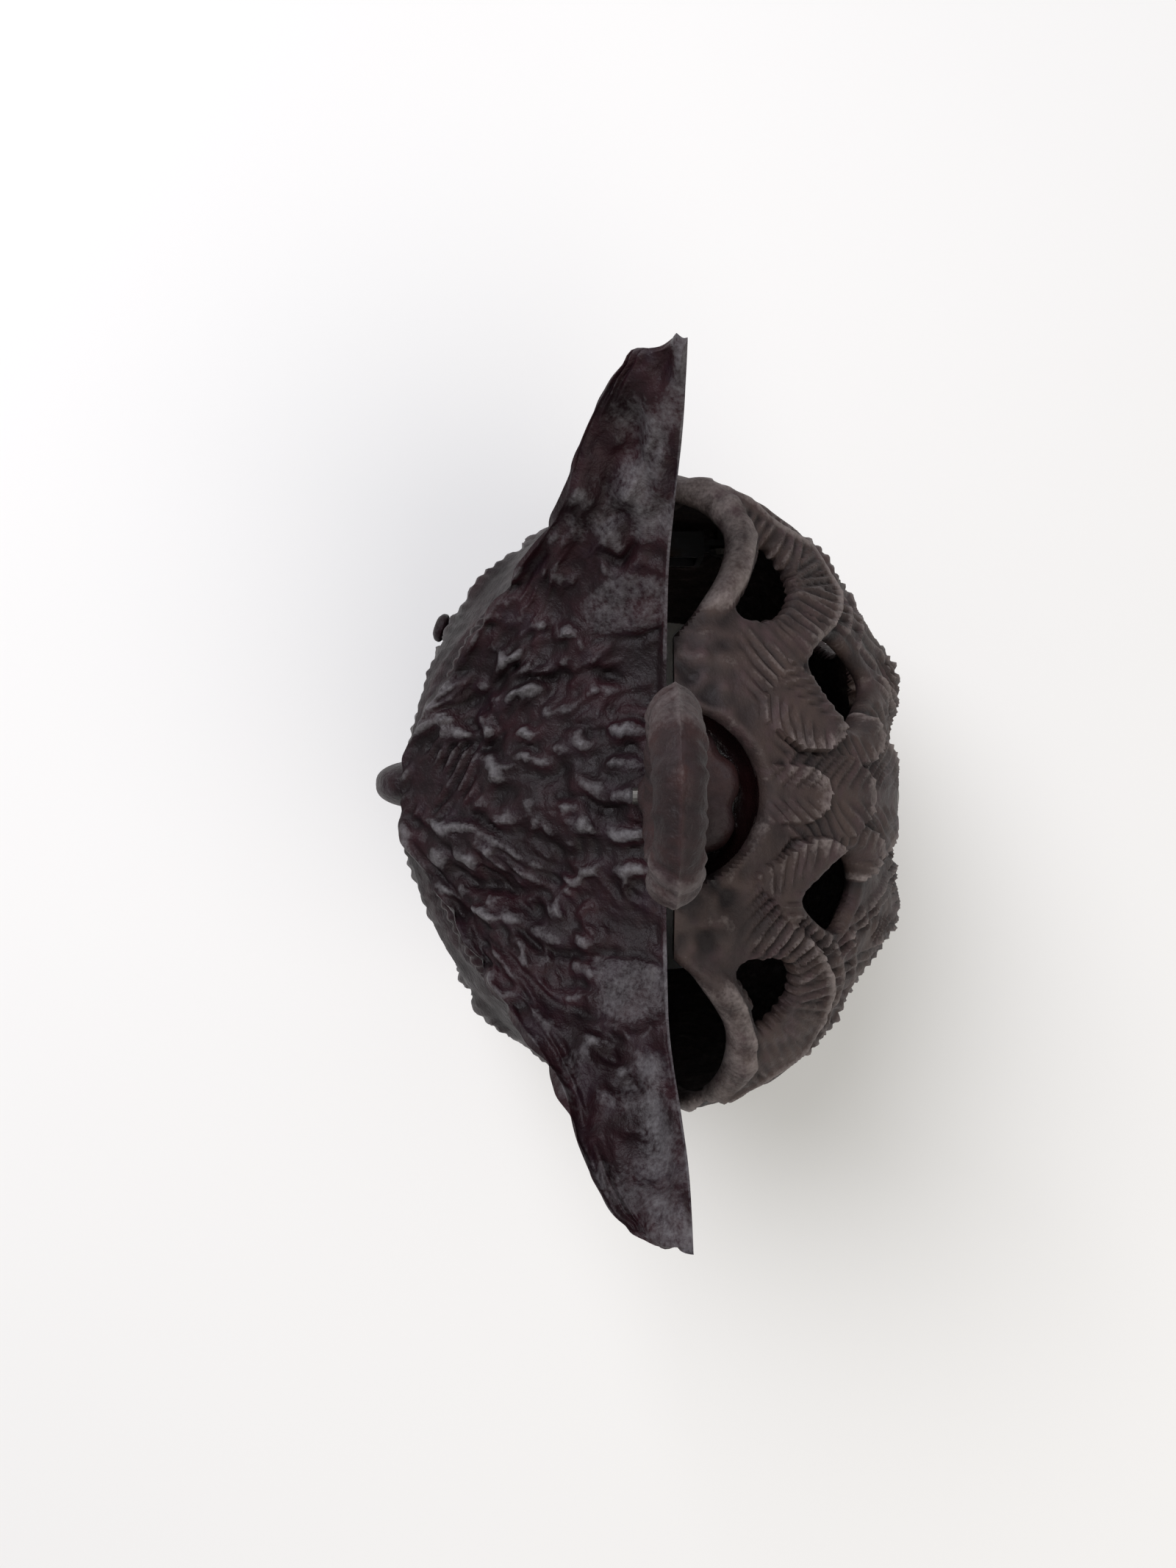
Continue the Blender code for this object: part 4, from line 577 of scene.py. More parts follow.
def crownRelief(x, y, row):
    # Lift of the crown and the ears, a sum of lumps, folds, noise and cuts on the plan. It also
    # gives where they are greyed and where the smooth hollows beside the ring lie.
    off = np.abs(x)
    dx = x - door["middleX"]
    far, turn = np.hypot(dx, y - door["fanY"]), np.arctan2(dx, y - door["fanY"])
    wander = lumpy(x, y, 7, 7, 1)
    bentX, bentY = x + 2.8 * lumpy(x, y, 2.4, 2.4, 23), y + 3.2 * lumpy(x, y, 2.4, 2.4, 24)
    lumps = (leaves(bentX, bentY, crownLumps, 0.4) * door["lumpHeight"]
             + leaves(bentX, bentY, tuftSpots(), 0.5) * door["tuftHeight"])
    # Broad swellings and a few long folds that fan out from the beak, with sharp crests.
    quieter = 1 - 0.5 * smooth(-18, -12, y)
    swells = 2.6 * (softNoise(turn * 7 + 9, far / 8, 12) - 0.5) + 1.8 * lumpy(x, y, 4.2, 4.2, 18)
    folds = crease(turn * 13 + 2.5 * wander + 9, far / 12 + wander, 2) ** 4
    folds = folds * smooth(0.35, 0.6, softNoise(x / 6, y / 6, 19))
    fine = crease(turn * 34 + 6 * wander + 30, far / 4, 3) ** 2
    fine = fine * smooth(0.3, 0.55, softNoise(x / 4, y / 4, 5))
    crumple = 0.6 * lumpy(x, y, 1.5, 1.1, 4) + 0.5 * lumpy(x, y, 2.6, 2.2, 6)
    # Ears: low swellings that run along them, and short dark wrinkles across.
    ear = smooth(31, 38, off)
    swell = 2.8 * lumpy(x, y, 6.0, 3.2, 7) + 1.3 * lumpy(x, y, 2.6, 2.1, 9)
    swell = swell + 0.35 * lumpy(x, y, 1.1, 1.1, 8)
    # The seam side: smooth hollows beside the ring, and pebbled grey roots of the ears.
    hollow = bump(off, 20, 3.6) * bump(y, -5, 5)
    edgeX = 24.2 + 1.6 * lumpy(y, 0 * y, 2.5, 1, 14) + 0.1 * y
    patch = smooth(edgeX - 0.3, edgeX + 0.5, off) * smooth(-14.5, -11.5, y + 3 * wander)
    patch = patch * (1 - smooth(31, 34.5, off + 0.3 * np.abs(y + 6) + 3 * wander))
    pebbles = 0.35 * lumpy(x, y, 0.8, 0.8, 15) + 0.4 * lumpy(x, y, 2.2, 2.2, 16)
    step = bump(off, edgeX - 0.4, 0.6) * smooth(-13, -10, y)
    # Brow: bumps either side of the bridge, short slanted cuts on it, and strands along its edge.
    bridge = (1 - smooth(5.2, 6.6, np.abs(dx))) * (1 - smooth(-32, -26, y))
    bumps = 1.9 * bump(np.abs(dx), 11.2, 4.4) * bump(y, -37, 5)
    cuts = np.cos(6.28 * (y + 0.7 * x + 3 * wander) / 2.1)
    cuts = cuts * smooth(0.35, 0.6, softNoise(x / 3, y / 2.2, 21))
    strands = crease((row - 2) / 0.11 + 2.2 * wander, x / 6, 8) - 0.5
    strands = strands * (1 - smooth(2.2, 2.36, row)) * smooth(10, 14, np.abs(dx))
    calm = (1 - 0.92 * np.maximum(hollow, patch)) * (1 - 0.85 * ear) * (1 - 0.8 * bridge)
    relief = ((lumps + door["foldHeight"] * folds + 0.95 * fine + crumple + swells * quieter) * calm
              + ear * swell - door["wrinkleDepth"] * grooves(x, y, earWrinkles, 0.7)
              - 0.9 * hollow + patch * pebbles - 0.8 * step
              + door["lumpHeight"] * 0.75 * leaves(x, y, edgeLumps, 0.2) + bumps + 0.8 * cuts * bridge
              - door["creaseDepth"] * grooves(x, y, crownCreases, 0.75)
              + door["strandHeight"] * strands + 0.5 * bump(row, 2.015, 0.02) - 0.6)
    # Greyed: the rim, the roots of the ears and mottled ears, by rubbing; the lumps by rubbing and a
    # painted highlight.
    rim = smooth(2.968, 2.985, row) * smooth(14, 22, off)
    mottled = smooth(0.35, 0.65, softNoise(x / 4.2, y / 3.6, 17)) * (0.4 + 0.6 * smooth(2.3, 2.8, row))
    wornAndHighlit = 0.1 + 0.5 * smooth(0.35, 0.65, softNoise(x / 1.3, y / 1.0, 25))
    greyed = np.maximum.reduce([0.7 * patch, 0.85 * rim, ear * (0.52 + 0.36 * mottled),
                                wornAndHighlit * np.clip(lumps, 0, 1)])
    return localMean(relief, 1), greyed, hollow


def doorRelief(points, row):
    # Lift of the door, and its crest values for rubbing, painted highlight and painted shade: crown, face
    # and body, each faded in over its own rows.
    x, y, z = points[..., 0], points[..., 1], points[..., 2]
    roof = smooth(1.97, 2.04, row)
    crown, greyed, hollow = crownRelief(x, y, np.maximum(row, 2))
    # The face: each eye's disc is a shallow dish with lines round it.
    faceBand = smooth(0.98, 1.06, row) * (1 - smooth(1.93, 1.99, row))
    upward = z - (owl["crown"] - door["eyeDrop"])
    fromEye = np.hypot(np.abs(x) - door["eyeX"], upward)
    eyeTurn = np.arctan2(upward, np.abs(x) - door["eyeX"])
    disc = 1 - smooth(door["discRadius"] - 1, door["discRadius"] + 1, fromEye)
    lines = 0.28 * np.cos(eyeTurn * door["discLines"] + 1.5 * softNoise(x / 3, z / 3, 9))
    face = disc * lines + 0.5 * bump(fromEye, door["discRadius"], 1.4)
    face = face + 0.5 * (1 - disc) * (crease(x / 2.2, z / 6, 10) - 0.5)
    across = aroundBelly(x)
    # Low tufts on the shoulders, under the brow.
    tufts = 3 * (softNoise(across / 5, row * 13, 33) - 0.65) * smooth(0.62, 0.8, row)
    body = feathers["lift"] * scalePattern(across, (1 - row) * neck, 11) + tufts
    body = body * (1 - smooth(0.97, 1.03, row))
    # The brow's edge is scalloped, one rounded bump every 6.5 mm.
    off = np.abs(x)
    along = (off + 1.5 * softNoise(x / 5, 0 * x, 22)) / door["scallop"]
    scallops = np.abs(np.sin(np.pi * along)) ** 0.7 - 0.5
    scallops = scallops * bump(row, 2.02, 0.08) * smooth(11, 15, off) * (1 - smooth(41, 46, off))
    relief = roof * crown + (1 - roof) * faceBand * face + body + 1.4 * scallops
    # Painted shade: lower crest values darken the smooth hollows beside the ring and the body below the
    # roof.
    rubbedAndLit = wearHighlightAndShade(relief, 6, 0.65) * (1 - 0.7 * roof * hollow) * (0.6 + 0.4 * roof)
    crest = np.maximum(rubbedAndLit, roof * greyed)
    return relief, crest


def makeDoor():
    # The outer skin is frontForm pushed out along its normals by the relief, the inner skin is
    # frontHollow, and a rim of triangles joins them. Columns are even along a line over the roof.
    sample = np.linspace(0, np.pi, 401)
    edge = frontForm(sample, 0 * sample + 2.35)
    speed = np.linalg.norm(np.gradient(edge, axis=0), axis=1)
    angle = np.pi * evened(sample / np.pi, door["columns"], speed)
    rows = 3 * evened([0, 0.33, 0.335, 0.65, 0.66, 1], door["rows"], [60, 60, 30, 40, 160, 150])
    angles, row = np.meshgrid(angle, rows, indexing="ij")
    outer = frontForm(angles, row)
    normals = gridNormals(outer)
    relief, crest = doorRelief(outer, row)
    fade = smooth(0, 0.06, np.sin(angles)) * (0.25 + 0.75 * smooth(0, 0.05, 3 - row))
    shaped = outer + normals * (relief * fade)[..., None]
    shaped[:, -1, 1] = outer[:, -1, 1]
    shaped[:, 0, 2] = 0
    limit = np.where(row > 2, outer[..., 1] + 0.6, -owl["seam"])
    shaped[..., 1] = np.minimum(shaped[..., 1], np.where(row > 2.99, outer[..., 1], limit))
    shaped[..., 2] = np.clip(shaped[..., 2], 0, owl["ear"])
    angles, rise = np.meshgrid(angle[::2], np.linspace(0, 1, (door["rows"] + 1) // 2), indexing="ij")
    inner = frontHollow(angles, rise)

    def border(grid):  # numbers of the points round a grid's edge, in order
        return np.concatenate([grid[:, 0], grid[-1, 1:], grid[-2::-1, -1], grid[0, -2:0:-1]])

    count = outer.shape[0] * outer.shape[1]
    wide = border(np.arange(count).reshape(outer.shape[:2]))
    small = border(count + np.arange(inner.shape[0] * inner.shape[1]).reshape(inner.shape[:2]))
    # The inner grid has half as many points round its edge, so three triangles join each pair.
    o0, o1, o2, a, b = wide[::2], wide[1::2], np.roll(wide[::2], -1), small, np.roll(small, -1)
    rim = np.concatenate([np.stack(corners, axis=1) for corners in ((o0, a, o1), (a, b, o1), (o1, b, o2))])
    inside = gridFaces(*inner.shape[:2], first=count)[:, ::-1]
    points = np.concatenate([shaped.reshape(-1, 3), inner.reshape(-1, 3)])
    # The inner skin gets a low crest value of 0.2, so painted shade darkens it.
    crests = np.concatenate([crest.reshape(-1), np.full(len(points) - count, 0.2)])
    addPiece("frontShell", points, [gridFaces(*outer.shape[:2]), inside, rim], **onDoor, crest=crests)


makeDoor()
print("door shell made")

openwork = dict(columns=300, rows=176, edgeRound=0.9, opened=0.7, rimRise=1.2, bandRise=1.5,
                ribPitch=1.7, ribHeight=0.42, outerPitch=2.0, beadPitch=2.0, lip=0.45,
                scaleLift=2.2, barbHeight=0.27, barbPitch=2.0)
crownHoles = [ [(-47, -3), (-47, 4.2), (-43, 8.2), (-39.5, 8.8), (-34.5, 7.3), (-30, 4.7),
              (-24.5, 0.7), (-23, -3)], [(24.5, -3), (25.7, 1.2), (30.5, 5.3), (35.6, 8.3),
              (40.3, 9), (45.7, 8), (50, 5), (50.5, -3)], [(-39.2, 15.5), (-36.8, 18.1),
              (-32.5, 19.2), (-28.3, 16.8), (-27, 13), (-28.2, 10.9), (-33, 13.7)], [(26.4, 11.1),
              (25.3, 14.6), (25.9, 17.7), (29, 19.1), (32.3, 17.9), (35.1, 14.6), (31, 13.4)],
              [(-25.3, 26.5), (-20.8, 33.2), (-17.8, 34.4), (-14.8, 32.4), (-10.8, 28.8), (-13, 26),
              (-20.3, 21.6)], [(16.3, 20.3), (12.4, 23.3), (8.9, 27.5), (10.5, 29.7), (14.3, 30.9),
              (18.5, 29.3), (21.6, 26.4)]]
sideHoles = [ [(13, 88), (21, 93), (29, 88), (30, 76), (21, 66), (13, 76)], [(34, 82), (41, 76),
             (43, 62), (37, 52), (31, 64)]]
# Crests in plan, each from the ear inwards: where the rim band ends, where the second band ends on
# the third, and the third band's beaded edge. The -X side comes first.
rimCrests = [[(-49, 9), (-44.5, 12.6), (-40, 14.3), (-36.5, 13.4), (-32.5, 12.2), (-28.5, 9.6),
             (-25, 6.8), (-22.5, 3)], [(50.5, 8), (46.5, 11.8), (42, 13.9), (37, 13.7), (32, 12),
             (28, 9.8), (25.2, 7), (23, 3)]]
bandCrests = [[(-49, 9), (-47, 12.5), (-43.3, 18.8), (-41.4, 24.9), (-37.5, 27.9), (-33.3, 29.3),
              (-29.1, 28), (-25.6, 26), (-21.5, 22.2), (-19.2, 19.6)], [(50.5, 8), (48, 12.5),
              (44.5, 17.5), (41.5, 23), (37, 26.5), (32.5, 27.5), (28, 26.5), (24, 24),
              (19.5, 19.5)]]
beadCrests = [[(-44, 25), (-41, 31), (-36, 37.5), (-29, 43), (-22, 46), (-15, 45), (-10, 41),
              (-8.5, 36)], [(45, 25), (41, 31), (36, 37.5), (29, 43), (22, 46), (15, 45), (10, 41),
              (8.5, 36)]]
# Tongue feathers down the middle, lowest first: tip x, tip y, width, length, lean.
columnScales = [(0.3, 44.5, 20, 20, 0), (-8, 35, 10.5, 15, 0.35), (8, 35, 10.5, 15, -0.35),
                (0, 32.8, 13, 14, 0), (-8.6, 26, 10.5, 12, 0.65), (8.2, 26.5, 10.5, 12, -0.65),
                (-0.3, 24, 9, 10, 0)]


def holeFields(points):
    # Distance of each point from the edge of each opening, below zero inside it.
    plan, front = points[:, :2], points[:, [0, 2]]
    far, high = 60.0, points[:, 2] > 100  # out of reach of an opening on the other part
    low = (points[:, 1] > 8) & (points[:, 2] < 98)
    fields = [np.where(high, lineDistance(plan, roundLoop(outline)), far) for outline in crownHoles]
    fields += [np.where(low, lineDistance(front, roundLoop([(way * x, z) for x, z in outline])), far)
               for way in (-1, 1) for outline in sideHoles]
    fields[:4] = [field - openwork["opened"] for field in fields[:4]]
    pocket = np.hypot(1.1 * points[:, 0], points[:, 1] - owl["screwY"]) - owl["pocket"]
    return fields + [np.where(high, pocket, far)]


def tongue(x, y, scale, seed):
    # One feather on a plan: half round at its tip, rising to it, with slanted barbs off a middle line.
    tipX, tipY, width, length, lean = scale
    dx, dy = x - tipX, y - tipY
    v = 1 + (dx * math.sin(lean) + dy * math.cos(lean)) / length
    u = (dx * math.cos(lean) - dy * math.sin(lean)) / (width / 2)
    slant = v * length - 0.8 * np.abs(u) * width / 2 + 1.5 * softNoise(x / 3, y / 3, seed)
    barbs = np.cos(6.28 * slant / openwork["barbPitch"])
    reach = 1 - 0.5 * (1 - np.sqrt(np.clip(1 - u * u, 0, 1)))
    inside = (np.abs(u) < 1) & (v > -0.1) & (v < reach)
    near = np.clip(v / reach, 0, 1)
    height = openwork["scaleLift"] * (0.2 + 0.85 * near ** 1.5 * (1 - 0.4 * u * u))
    return inside, height + openwork["barbHeight"] * barbs * smooth(0.05, 0.25, np.abs(u))


def backRelief(points, fields, rise):
    # Lift of the back: bands with crests, ribs and beads on the head, middle feathers over them,
    # and rows of feathers below. It also gives the rubbing with painted highlight and painted shade,
    # and notches along the openings.
    x, y, z = points.T
    plan, off = points[:, :2], np.abs(x)
    high = smooth(88, 95, z)
    wander = lumpy(x, y + z, 6, 6, 21)
    relief = 1.2 * wander + 0.5 * lumpy(x, y + z, 2.2, 2.2, 20)
    notches, rubbedAndLit = np.zeros_like(x), np.zeros_like(x)
    # Long barbs on the head run down towards the middle feathers.
    fromScrew = np.hypot(x, y - owl["screwY"])
    barbs = np.cos(6.28 * (y + off + 3 * wander) / 2.3) * smooth(0.2, 0.5, softNoise(x / 5, y / 5, 27))
    barbs = barbs * smooth(17.5, 21, fromScrew) * smooth(9, 16, y) * (1 - smooth(24, 28, off))
    relief = relief + 0.5 * barbs * high
    for side, turn in enumerate((-1, 1)):
        # Left of a crest is inwards on one side and outwards on the other.
        (offRim, _), (offBand, onBand), (offBead, onBead) = (
            alongLine(plan, crests[side]) for crests in (rimCrests, bandCrests, beadCrests))
        offRim, offBand, offBead = turn * offRim, turn * offBand, turn * offBead
        here = (turn * x > 0) * high * smooth(19, 22, np.hypot(x, y + 1))
        within = smooth(-0.4, 0.2, offBand)
        inRim = smooth(-0.4, 0.2, offRim) * here * (1 - smooth(8, 10, fields[side])) * smooth(25, 30, off)
        inBand = within * (1 - inRim) * here
        outBand = (1 - within) * here * smooth(8.5, 11, off)
        # The rim band is smooth and climbs to its crest; it is greyer along the opening, by rubbing and a
        # painted highlight.
        relief = relief + inRim * openwork["rimRise"] * (0.75 + 0.5 * np.clip(1 - offRim / 6, 0, 1))
        rubbedAndLit = rubbedAndLit + inRim * (0.35 + 0.4 * bump(fields[side], 0.4, 0.8))
        # The second band climbs to its crest; ribs cross it and run in over the head.
        ribs = np.cos(6.28 * onBand / openwork["ribPitch"] + 3 * wander)
        ending = 1 - smooth(0.84, 0.98, onBand / onBand.max())
        ribbed = inBand * (1 - smooth(5, 11, offBand)) * smooth(17, 22, fromScrew) * smooth(10, 15, y)
        ribbed = ribbed * (0.35 + 0.65 * smooth(0.3, 0.6, softNoise(x / 5, y / 5, 28)))
        climb = openwork["bandRise"] * np.clip(1 - offBand / 10, 0, 1) ** 1.6
        relief = relief + inBand * ending * (climb + 0.5 * bump(offBand, 0.4, 0.5))
        ribbed = ribbed * (0.3 + 0.7 * ending) * smooth(0, 1.4, offBand)
        relief = relief + openwork["ribHeight"] * ribbed * ribs
        # The third band: ribs between raised lines, and beads along its edge.
        outer = outBand * smooth(0.6, 2.2, fields[4 + side]) * smooth(10, 15, y)
        outerRibs = np.cos(6.28 * onBand / openwork["outerPitch"] + 3 * wander)
        raised = bump(offBand, -3.2, 0.45) + bump(offBand, -6.4, 0.45)
        beads = np.abs(np.sin(np.pi * onBead / openwork["beadPitch"])) - 0.4
        beads = beads * bump(offBead, 0.2, 1.7) * smooth(90, 94, z)
        relief = relief + outer * (0.5 * outerRibs * (1 - raised) + 0.8 * raised + 0.9 * beads)
        relief = relief - 0.6 * outBand * bump(offBand, -0.8, 0.7)
        notches = notches + 0.3 * ribs * inBand + 0.2 * outerRibs * outer
    # Beside the pocket the head is uneven, and painted shade darkens it, most in its low spots.
    shoulder = high * (1 - smooth(6, 13, y)) * (1 - smooth(22, 27, off))
    uneven = lumpy(x, y, 3, 3, 29)
    relief = relief + shoulder * (2 * uneven + 0.7 * lumpy(x, y, 1.6, 1.6, 30))
    rubbedAndLit = rubbedAndLit - shoulder * (0.35 - 0.5 * uneven)
    relief = relief + openwork["lip"] * bump(fields[-1], 0.7, 0.8)  # round the pocket
    # Tongue feathers down the middle, each over the one below.
    for number, scale in enumerate(columnScales):
        inside, height = tongue(x, y, scale, 30 + number)
        relief = np.where(inside & (z > 95) & (fromScrew > 15.5), height + 0.5 * wander, relief)
    # The lower back: feathers in rows that hang down, wider apart than on the head.
    down = neck - owl["crown"] * (1 - (1 - rise) ** 1.7)
    rows = feathers["lift"] * scalePattern(aroundBelly(x), down, 26, ribs=4)
    low = 1 - high
    relief = relief * (1 - low) + low * (rows + 0.2 * wander)
    return relief, rubbedAndLit, notches


def clipSheet(values, faces, field):
    # Cuts a triangle mesh where a field passes zero and keeps the part above it. Each crossed
    # edge gets one new point, with every column of values blended along the edge.
    above = field > 0
    kept = above[faces].sum(axis=1)
    whole = faces[kept == 3]
    one, two = faces[kept == 1], faces[kept == 2]

    def rolled(group, wanted):  # puts the odd corner first
        odd = np.argmax(above[group] == wanted, axis=1)
        return np.take_along_axis(group, (odd[:, None] + np.arange(3)) % 3, axis=1)

    one, two = rolled(one, True), rolled(two, False)
    edges = np.concatenate([one[:, [0, 1]], one[:, [0, 2]], two[:, [0, 1]], two[:, [0, 2]]])
    pairs, index = np.unique(np.sort(edges, axis=1), axis=0, return_inverse=True)
    index = index.reshape(-1) + len(values)
    a, b = pairs.T
    share = np.clip(field[a] / (field[a] - field[b]), 0.02, 0.98)[:, None]
    fresh = values[a] * (1 - share) + values[b] * share
    n, m = len(one), len(two)
    cut1a, cut1b = index[:n], index[n:2 * n]
    cut2a, cut2b = index[2 * n:2 * n + m], index[2 * n + m:]
    cuts = ((one[:, 0], cut1a, cut1b), (cut2a, two[:, 1], two[:, 2]), (cut2a, two[:, 2], cut2b))
    made = np.concatenate([whole] + [np.stack(corners, axis=1) for corners in cuts])
    onEdge = np.concatenate([np.zeros(len(values), bool), np.ones(len(fresh), bool)])
    values = np.concatenate([values, fresh])
    used, made = np.unique(made, return_inverse=True)
    return values[used], made.reshape(-1, 3), onEdge[used]


def thickSheet(middle, normals, above, below, faces, pinched):
    # Two skins either side of a middle sheet, sewn along its free edges; where the sheet is
    # pinched both skins share one point.
    count = len(middle)
    outer = middle + normals * above[:, None]
    inner = middle - normals * below[:, None]
    lower = np.where(pinched, np.arange(count), np.arange(count) + count)
    outer[pinched] = middle[pinched]
    inside = lower[faces][:, ::-1]
    edges = np.concatenate([faces[:, [0, 1]], faces[:, [1, 2]], faces[:, [2, 0]]])
    _, first, uses = np.unique(np.sort(edges, axis=1), axis=0, return_index=True, return_counts=True)
    free = edges[first[uses == 1]]
    a, b = free.T
    both = ~pinched[a] & ~pinched[b]
    onlyA, onlyB = ~pinched[a] & pinched[b], pinched[a] & ~pinched[b]
    sides = np.stack([b[both], a[both], lower[a[both]], lower[b[both]]], axis=1)
    tips = [np.stack([b[onlyA], a[onlyA], lower[a[onlyA]]], axis=1),
            np.stack([b[onlyB], a[onlyB], lower[b[onlyB]]], axis=1)]
    points = np.concatenate([outer, inner])
    groups = [faces, inside, sides] + tips
    used = np.unique(np.concatenate([group.reshape(-1) for group in groups]))
    renumber = np.zeros(2 * count, int)
    renumber[used] = np.arange(len(used))
    return points[used], [renumber[group] for group in groups], used % count


def makeBack():
    # A sheet on backForm, cut at each opening and thickened both ways from its middle: the wall
    # thins to nothing along an opening on a quarter circle, and the relief lifts its outer side.
    angle = np.linspace(0, np.pi, openwork["columns"])
    rise = evened([0, 0.4, 0.43, 1], openwork["rows"], [1, 1, 2.4, 2.4])
    angles, rises = np.meshgrid(angle, rise, indexing="ij")
    form = backForm(angles, rises)
    normals = gridNormals(form)
    for edge in ((0, slice(None)), (-1, slice(None)), (slice(None), -1)):
        normals[edge][..., 1] = 0
    normals[:, 0, 2] = 0
    normals[np.linalg.norm(normals, axis=-1) < 1e-6] = (0, 0, 1)
    normals /= np.linalg.norm(normals, axis=-1, keepdims=True)
    points, normals = form.reshape(-1, 3), normals.reshape(-1, 3)
    half = owl["wall"] / 2
    fields = holeFields(points - normals * half)
    relief, rubbedAndLit, notches = backRelief(points, fields, rises.reshape(-1))
    gap = np.min(fields, axis=0) + notches * smooth(-1, 0.5, np.min(fields[:-1], axis=0))
    crest = np.clip(wearHighlightAndShade(relief.reshape(angles.shape), 5, 0.6).reshape(-1) + 0.5 * rubbedAndLit, 0, 1)
    quads = gridFaces(openwork["columns"], openwork["rows"])
    triangles = np.concatenate([quads[:, [0, 1, 2]], quads[:, [0, 2, 3]]])
    values = np.column_stack([points, normals, gap, relief, crest])
    values, triangles, pinched = clipSheet(values, triangles, gap)
    points, normals = values[:, :3], values[:, 3:6]
    normals = normals / np.linalg.norm(normals, axis=1, keepdims=True)
    gap, relief, crest = values[:, 6:].T
    roundness = np.sqrt(np.clip(1 - (1 - np.clip(gap / openwork["edgeRound"], 0, 1)) ** 2, 0, 1))
    middle = points - normals * half
    upper = half * roundness + relief * smooth(0.0, 1.8, gap)
    body, faces, source = thickSheet(middle, normals, upper, half * roundness, triangles, pinched)
    body[:, 2] = np.maximum(body[:, 2], 0)
    body[:, 1] = np.maximum(body[:, 1], owl["seam"])
    addPiece("backShell", body, faces, **onBack, crest=crest[source])


frameBoss = dict(radius=5, bore=2.5, start=37.6, headHeight=2.7, edge=0.4)


def makeFrameBosses():
    # Two bosses join the frame to the wall and come through it as flat pads under the screws' heads.
    parts = []
    for node in ("frame_screw_lower", "frame_screw_upper"):
        low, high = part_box(node)
        face = high[1] / mm - homePoint[1] - frameBoss["headHeight"]
        middle = (low[2] + high[2]) / 2 / mm
        bore, radius, start, edge = (frameBoss[key] for key in ("bore", "radius", "start", "edge"))
        profile = [(bore, start), (radius, start), (radius, face - edge), (radius - edge, face),
                   (bore, face)]
        parts.append(turnedBody(profile, (0, 0, middle), (0, 1, 0), 64, bored=True))
    addPiece("frameBosses", *joined(parts), **onBack, crest=0.45)


makeBack()
makeFrameBosses()
print("back shell made")

features = dict(beakX=-2, beakWidth=8, beakReach=6.7, beakHeight=20, beakDrop=29, eyeBulge=3, ringBar=3.6,
                toeLength=16, toeThick=6.8, toeSpacing=8, toeInner=9, tailMiddle=14,
                tailSizes=(11, 11, 13.8))


def faceSpot(x, z):
    # Place on the plain face at a distance from the middle and a height.
    rows = np.linspace(1, 2, 200)
    spots = frontForm(np.full(200, math.acos(x / owl["shoulderHalf"])), rows)
    return float(np.interp(z, spots[:, 2], spots[:, 1]))


def ellipsoid(centre, sizes, columns=48, rows=24, shape=None):
    # Sphere angles times three half sizes, about a centre; shape changes the unit points first.
    around, up = np.meshgrid(fullTurn(columns), np.linspace(-np.pi / 2, np.pi / 2, rows + 2)[1:-1],
                             indexing="ij")
    unit = np.stack([np.cos(up) * np.cos(around), np.cos(up) * np.sin(around), np.sin(up)], axis=-1)
    unit = unit.reshape(-1, 3)
    ends = np.array([[0, 0, -1.0], [0, 0, 1.0]])
    if shape:
        unit, ends = shape(unit), shape(ends)
    low, high = ends * sizes + centre
    return capped(unit * sizes + centre, columns, rows, low, high)


def makeFace():
    # Hooked beak: an ellipsoid with a ridge down its front, whose lower end curls in.
    def hooked(unit):
        x, y, z = unit.T
        x = np.sign(x) * np.abs(x) ** 0.75
        ridge = np.where(y < 0, 1 - 0.12 * np.abs(x) ** 3, 1)
        return np.stack([x, y * ridge + 0.25 * np.clip(-z, 0, 1) ** 2, z], axis=-1)

    centre = np.array([features["beakX"], 0.5 - owl["brow"], owl["crown"] - features["beakDrop"]])
    sizes = np.array([features["beakWidth"] / 2, features["beakReach"], features["beakHeight"] / 2])
    addPiece("beak", *ellipsoid(centre, sizes, shape=hooked), **onDoor, crest=0.6)

    height = owl["crown"] - door["eyeDrop"]
    near, far = (faceSpot(door["eyeX"] + way * door["eyeRadius"], height) for way in (-1, 1))
    yaw = math.atan2(far - near, 2 * door["eyeRadius"])
    depth = faceSpot(door["eyeX"], height)
    eyes, rings = [], []
    for way in (-1, 1):
        place = np.array([way * door["eyeX"], depth, height])
        outward = np.array([math.sin(yaw) * way, -math.cos(yaw), 0])
        # Eye: a low dome with a groove round its pupil.
        share = np.linspace(0, 1, 40)[1:]
        lift = features["eyeBulge"] * np.sqrt(1 - share ** 2) - 0.5 * bump(share, 0.5, 0.06)
        lift = lift + 0.3 * (1 - smooth(0.4, 0.5, share))
        dome = np.stack([door["eyeRadius"] * share, lift], axis=1)[::-1]
        profile = np.concatenate([[(0.1, -2), (door["eyeRadius"], -2)], dome])
        eyes.append(turnedBody(profile, place, outward, 64))
        # Ring of short feathers: a bar bent round the eye, notched along the rays from it.
        turn, roll = np.meshgrid(fullTurn(240), fullTurn(20), indexing="ij")
        bar = features["ringBar"] / 2 * (1 + 0.12 * np.cos(turn * 36))
        reach = door["ringRadius"] + bar * np.cos(roll)
        side = np.array([math.cos(yaw) * way, math.sin(yaw), 0])
        ray = np.cos(turn)[..., None] * side + np.sin(turn)[..., None] * [0, 0, 1]
        spots = place + reach[..., None] * ray + (1.1 * bar * np.sin(roll))[..., None] * outward
        rings.append((spots.reshape(-1, 3), [gridFaces(240, 20, around=True, closed=True)]))
    addPiece("eyes", *joined(eyes), **onDoor, crest=0.5)
    addPiece("eyeRings", *joined(rings), **onDoor, crest=0.5)


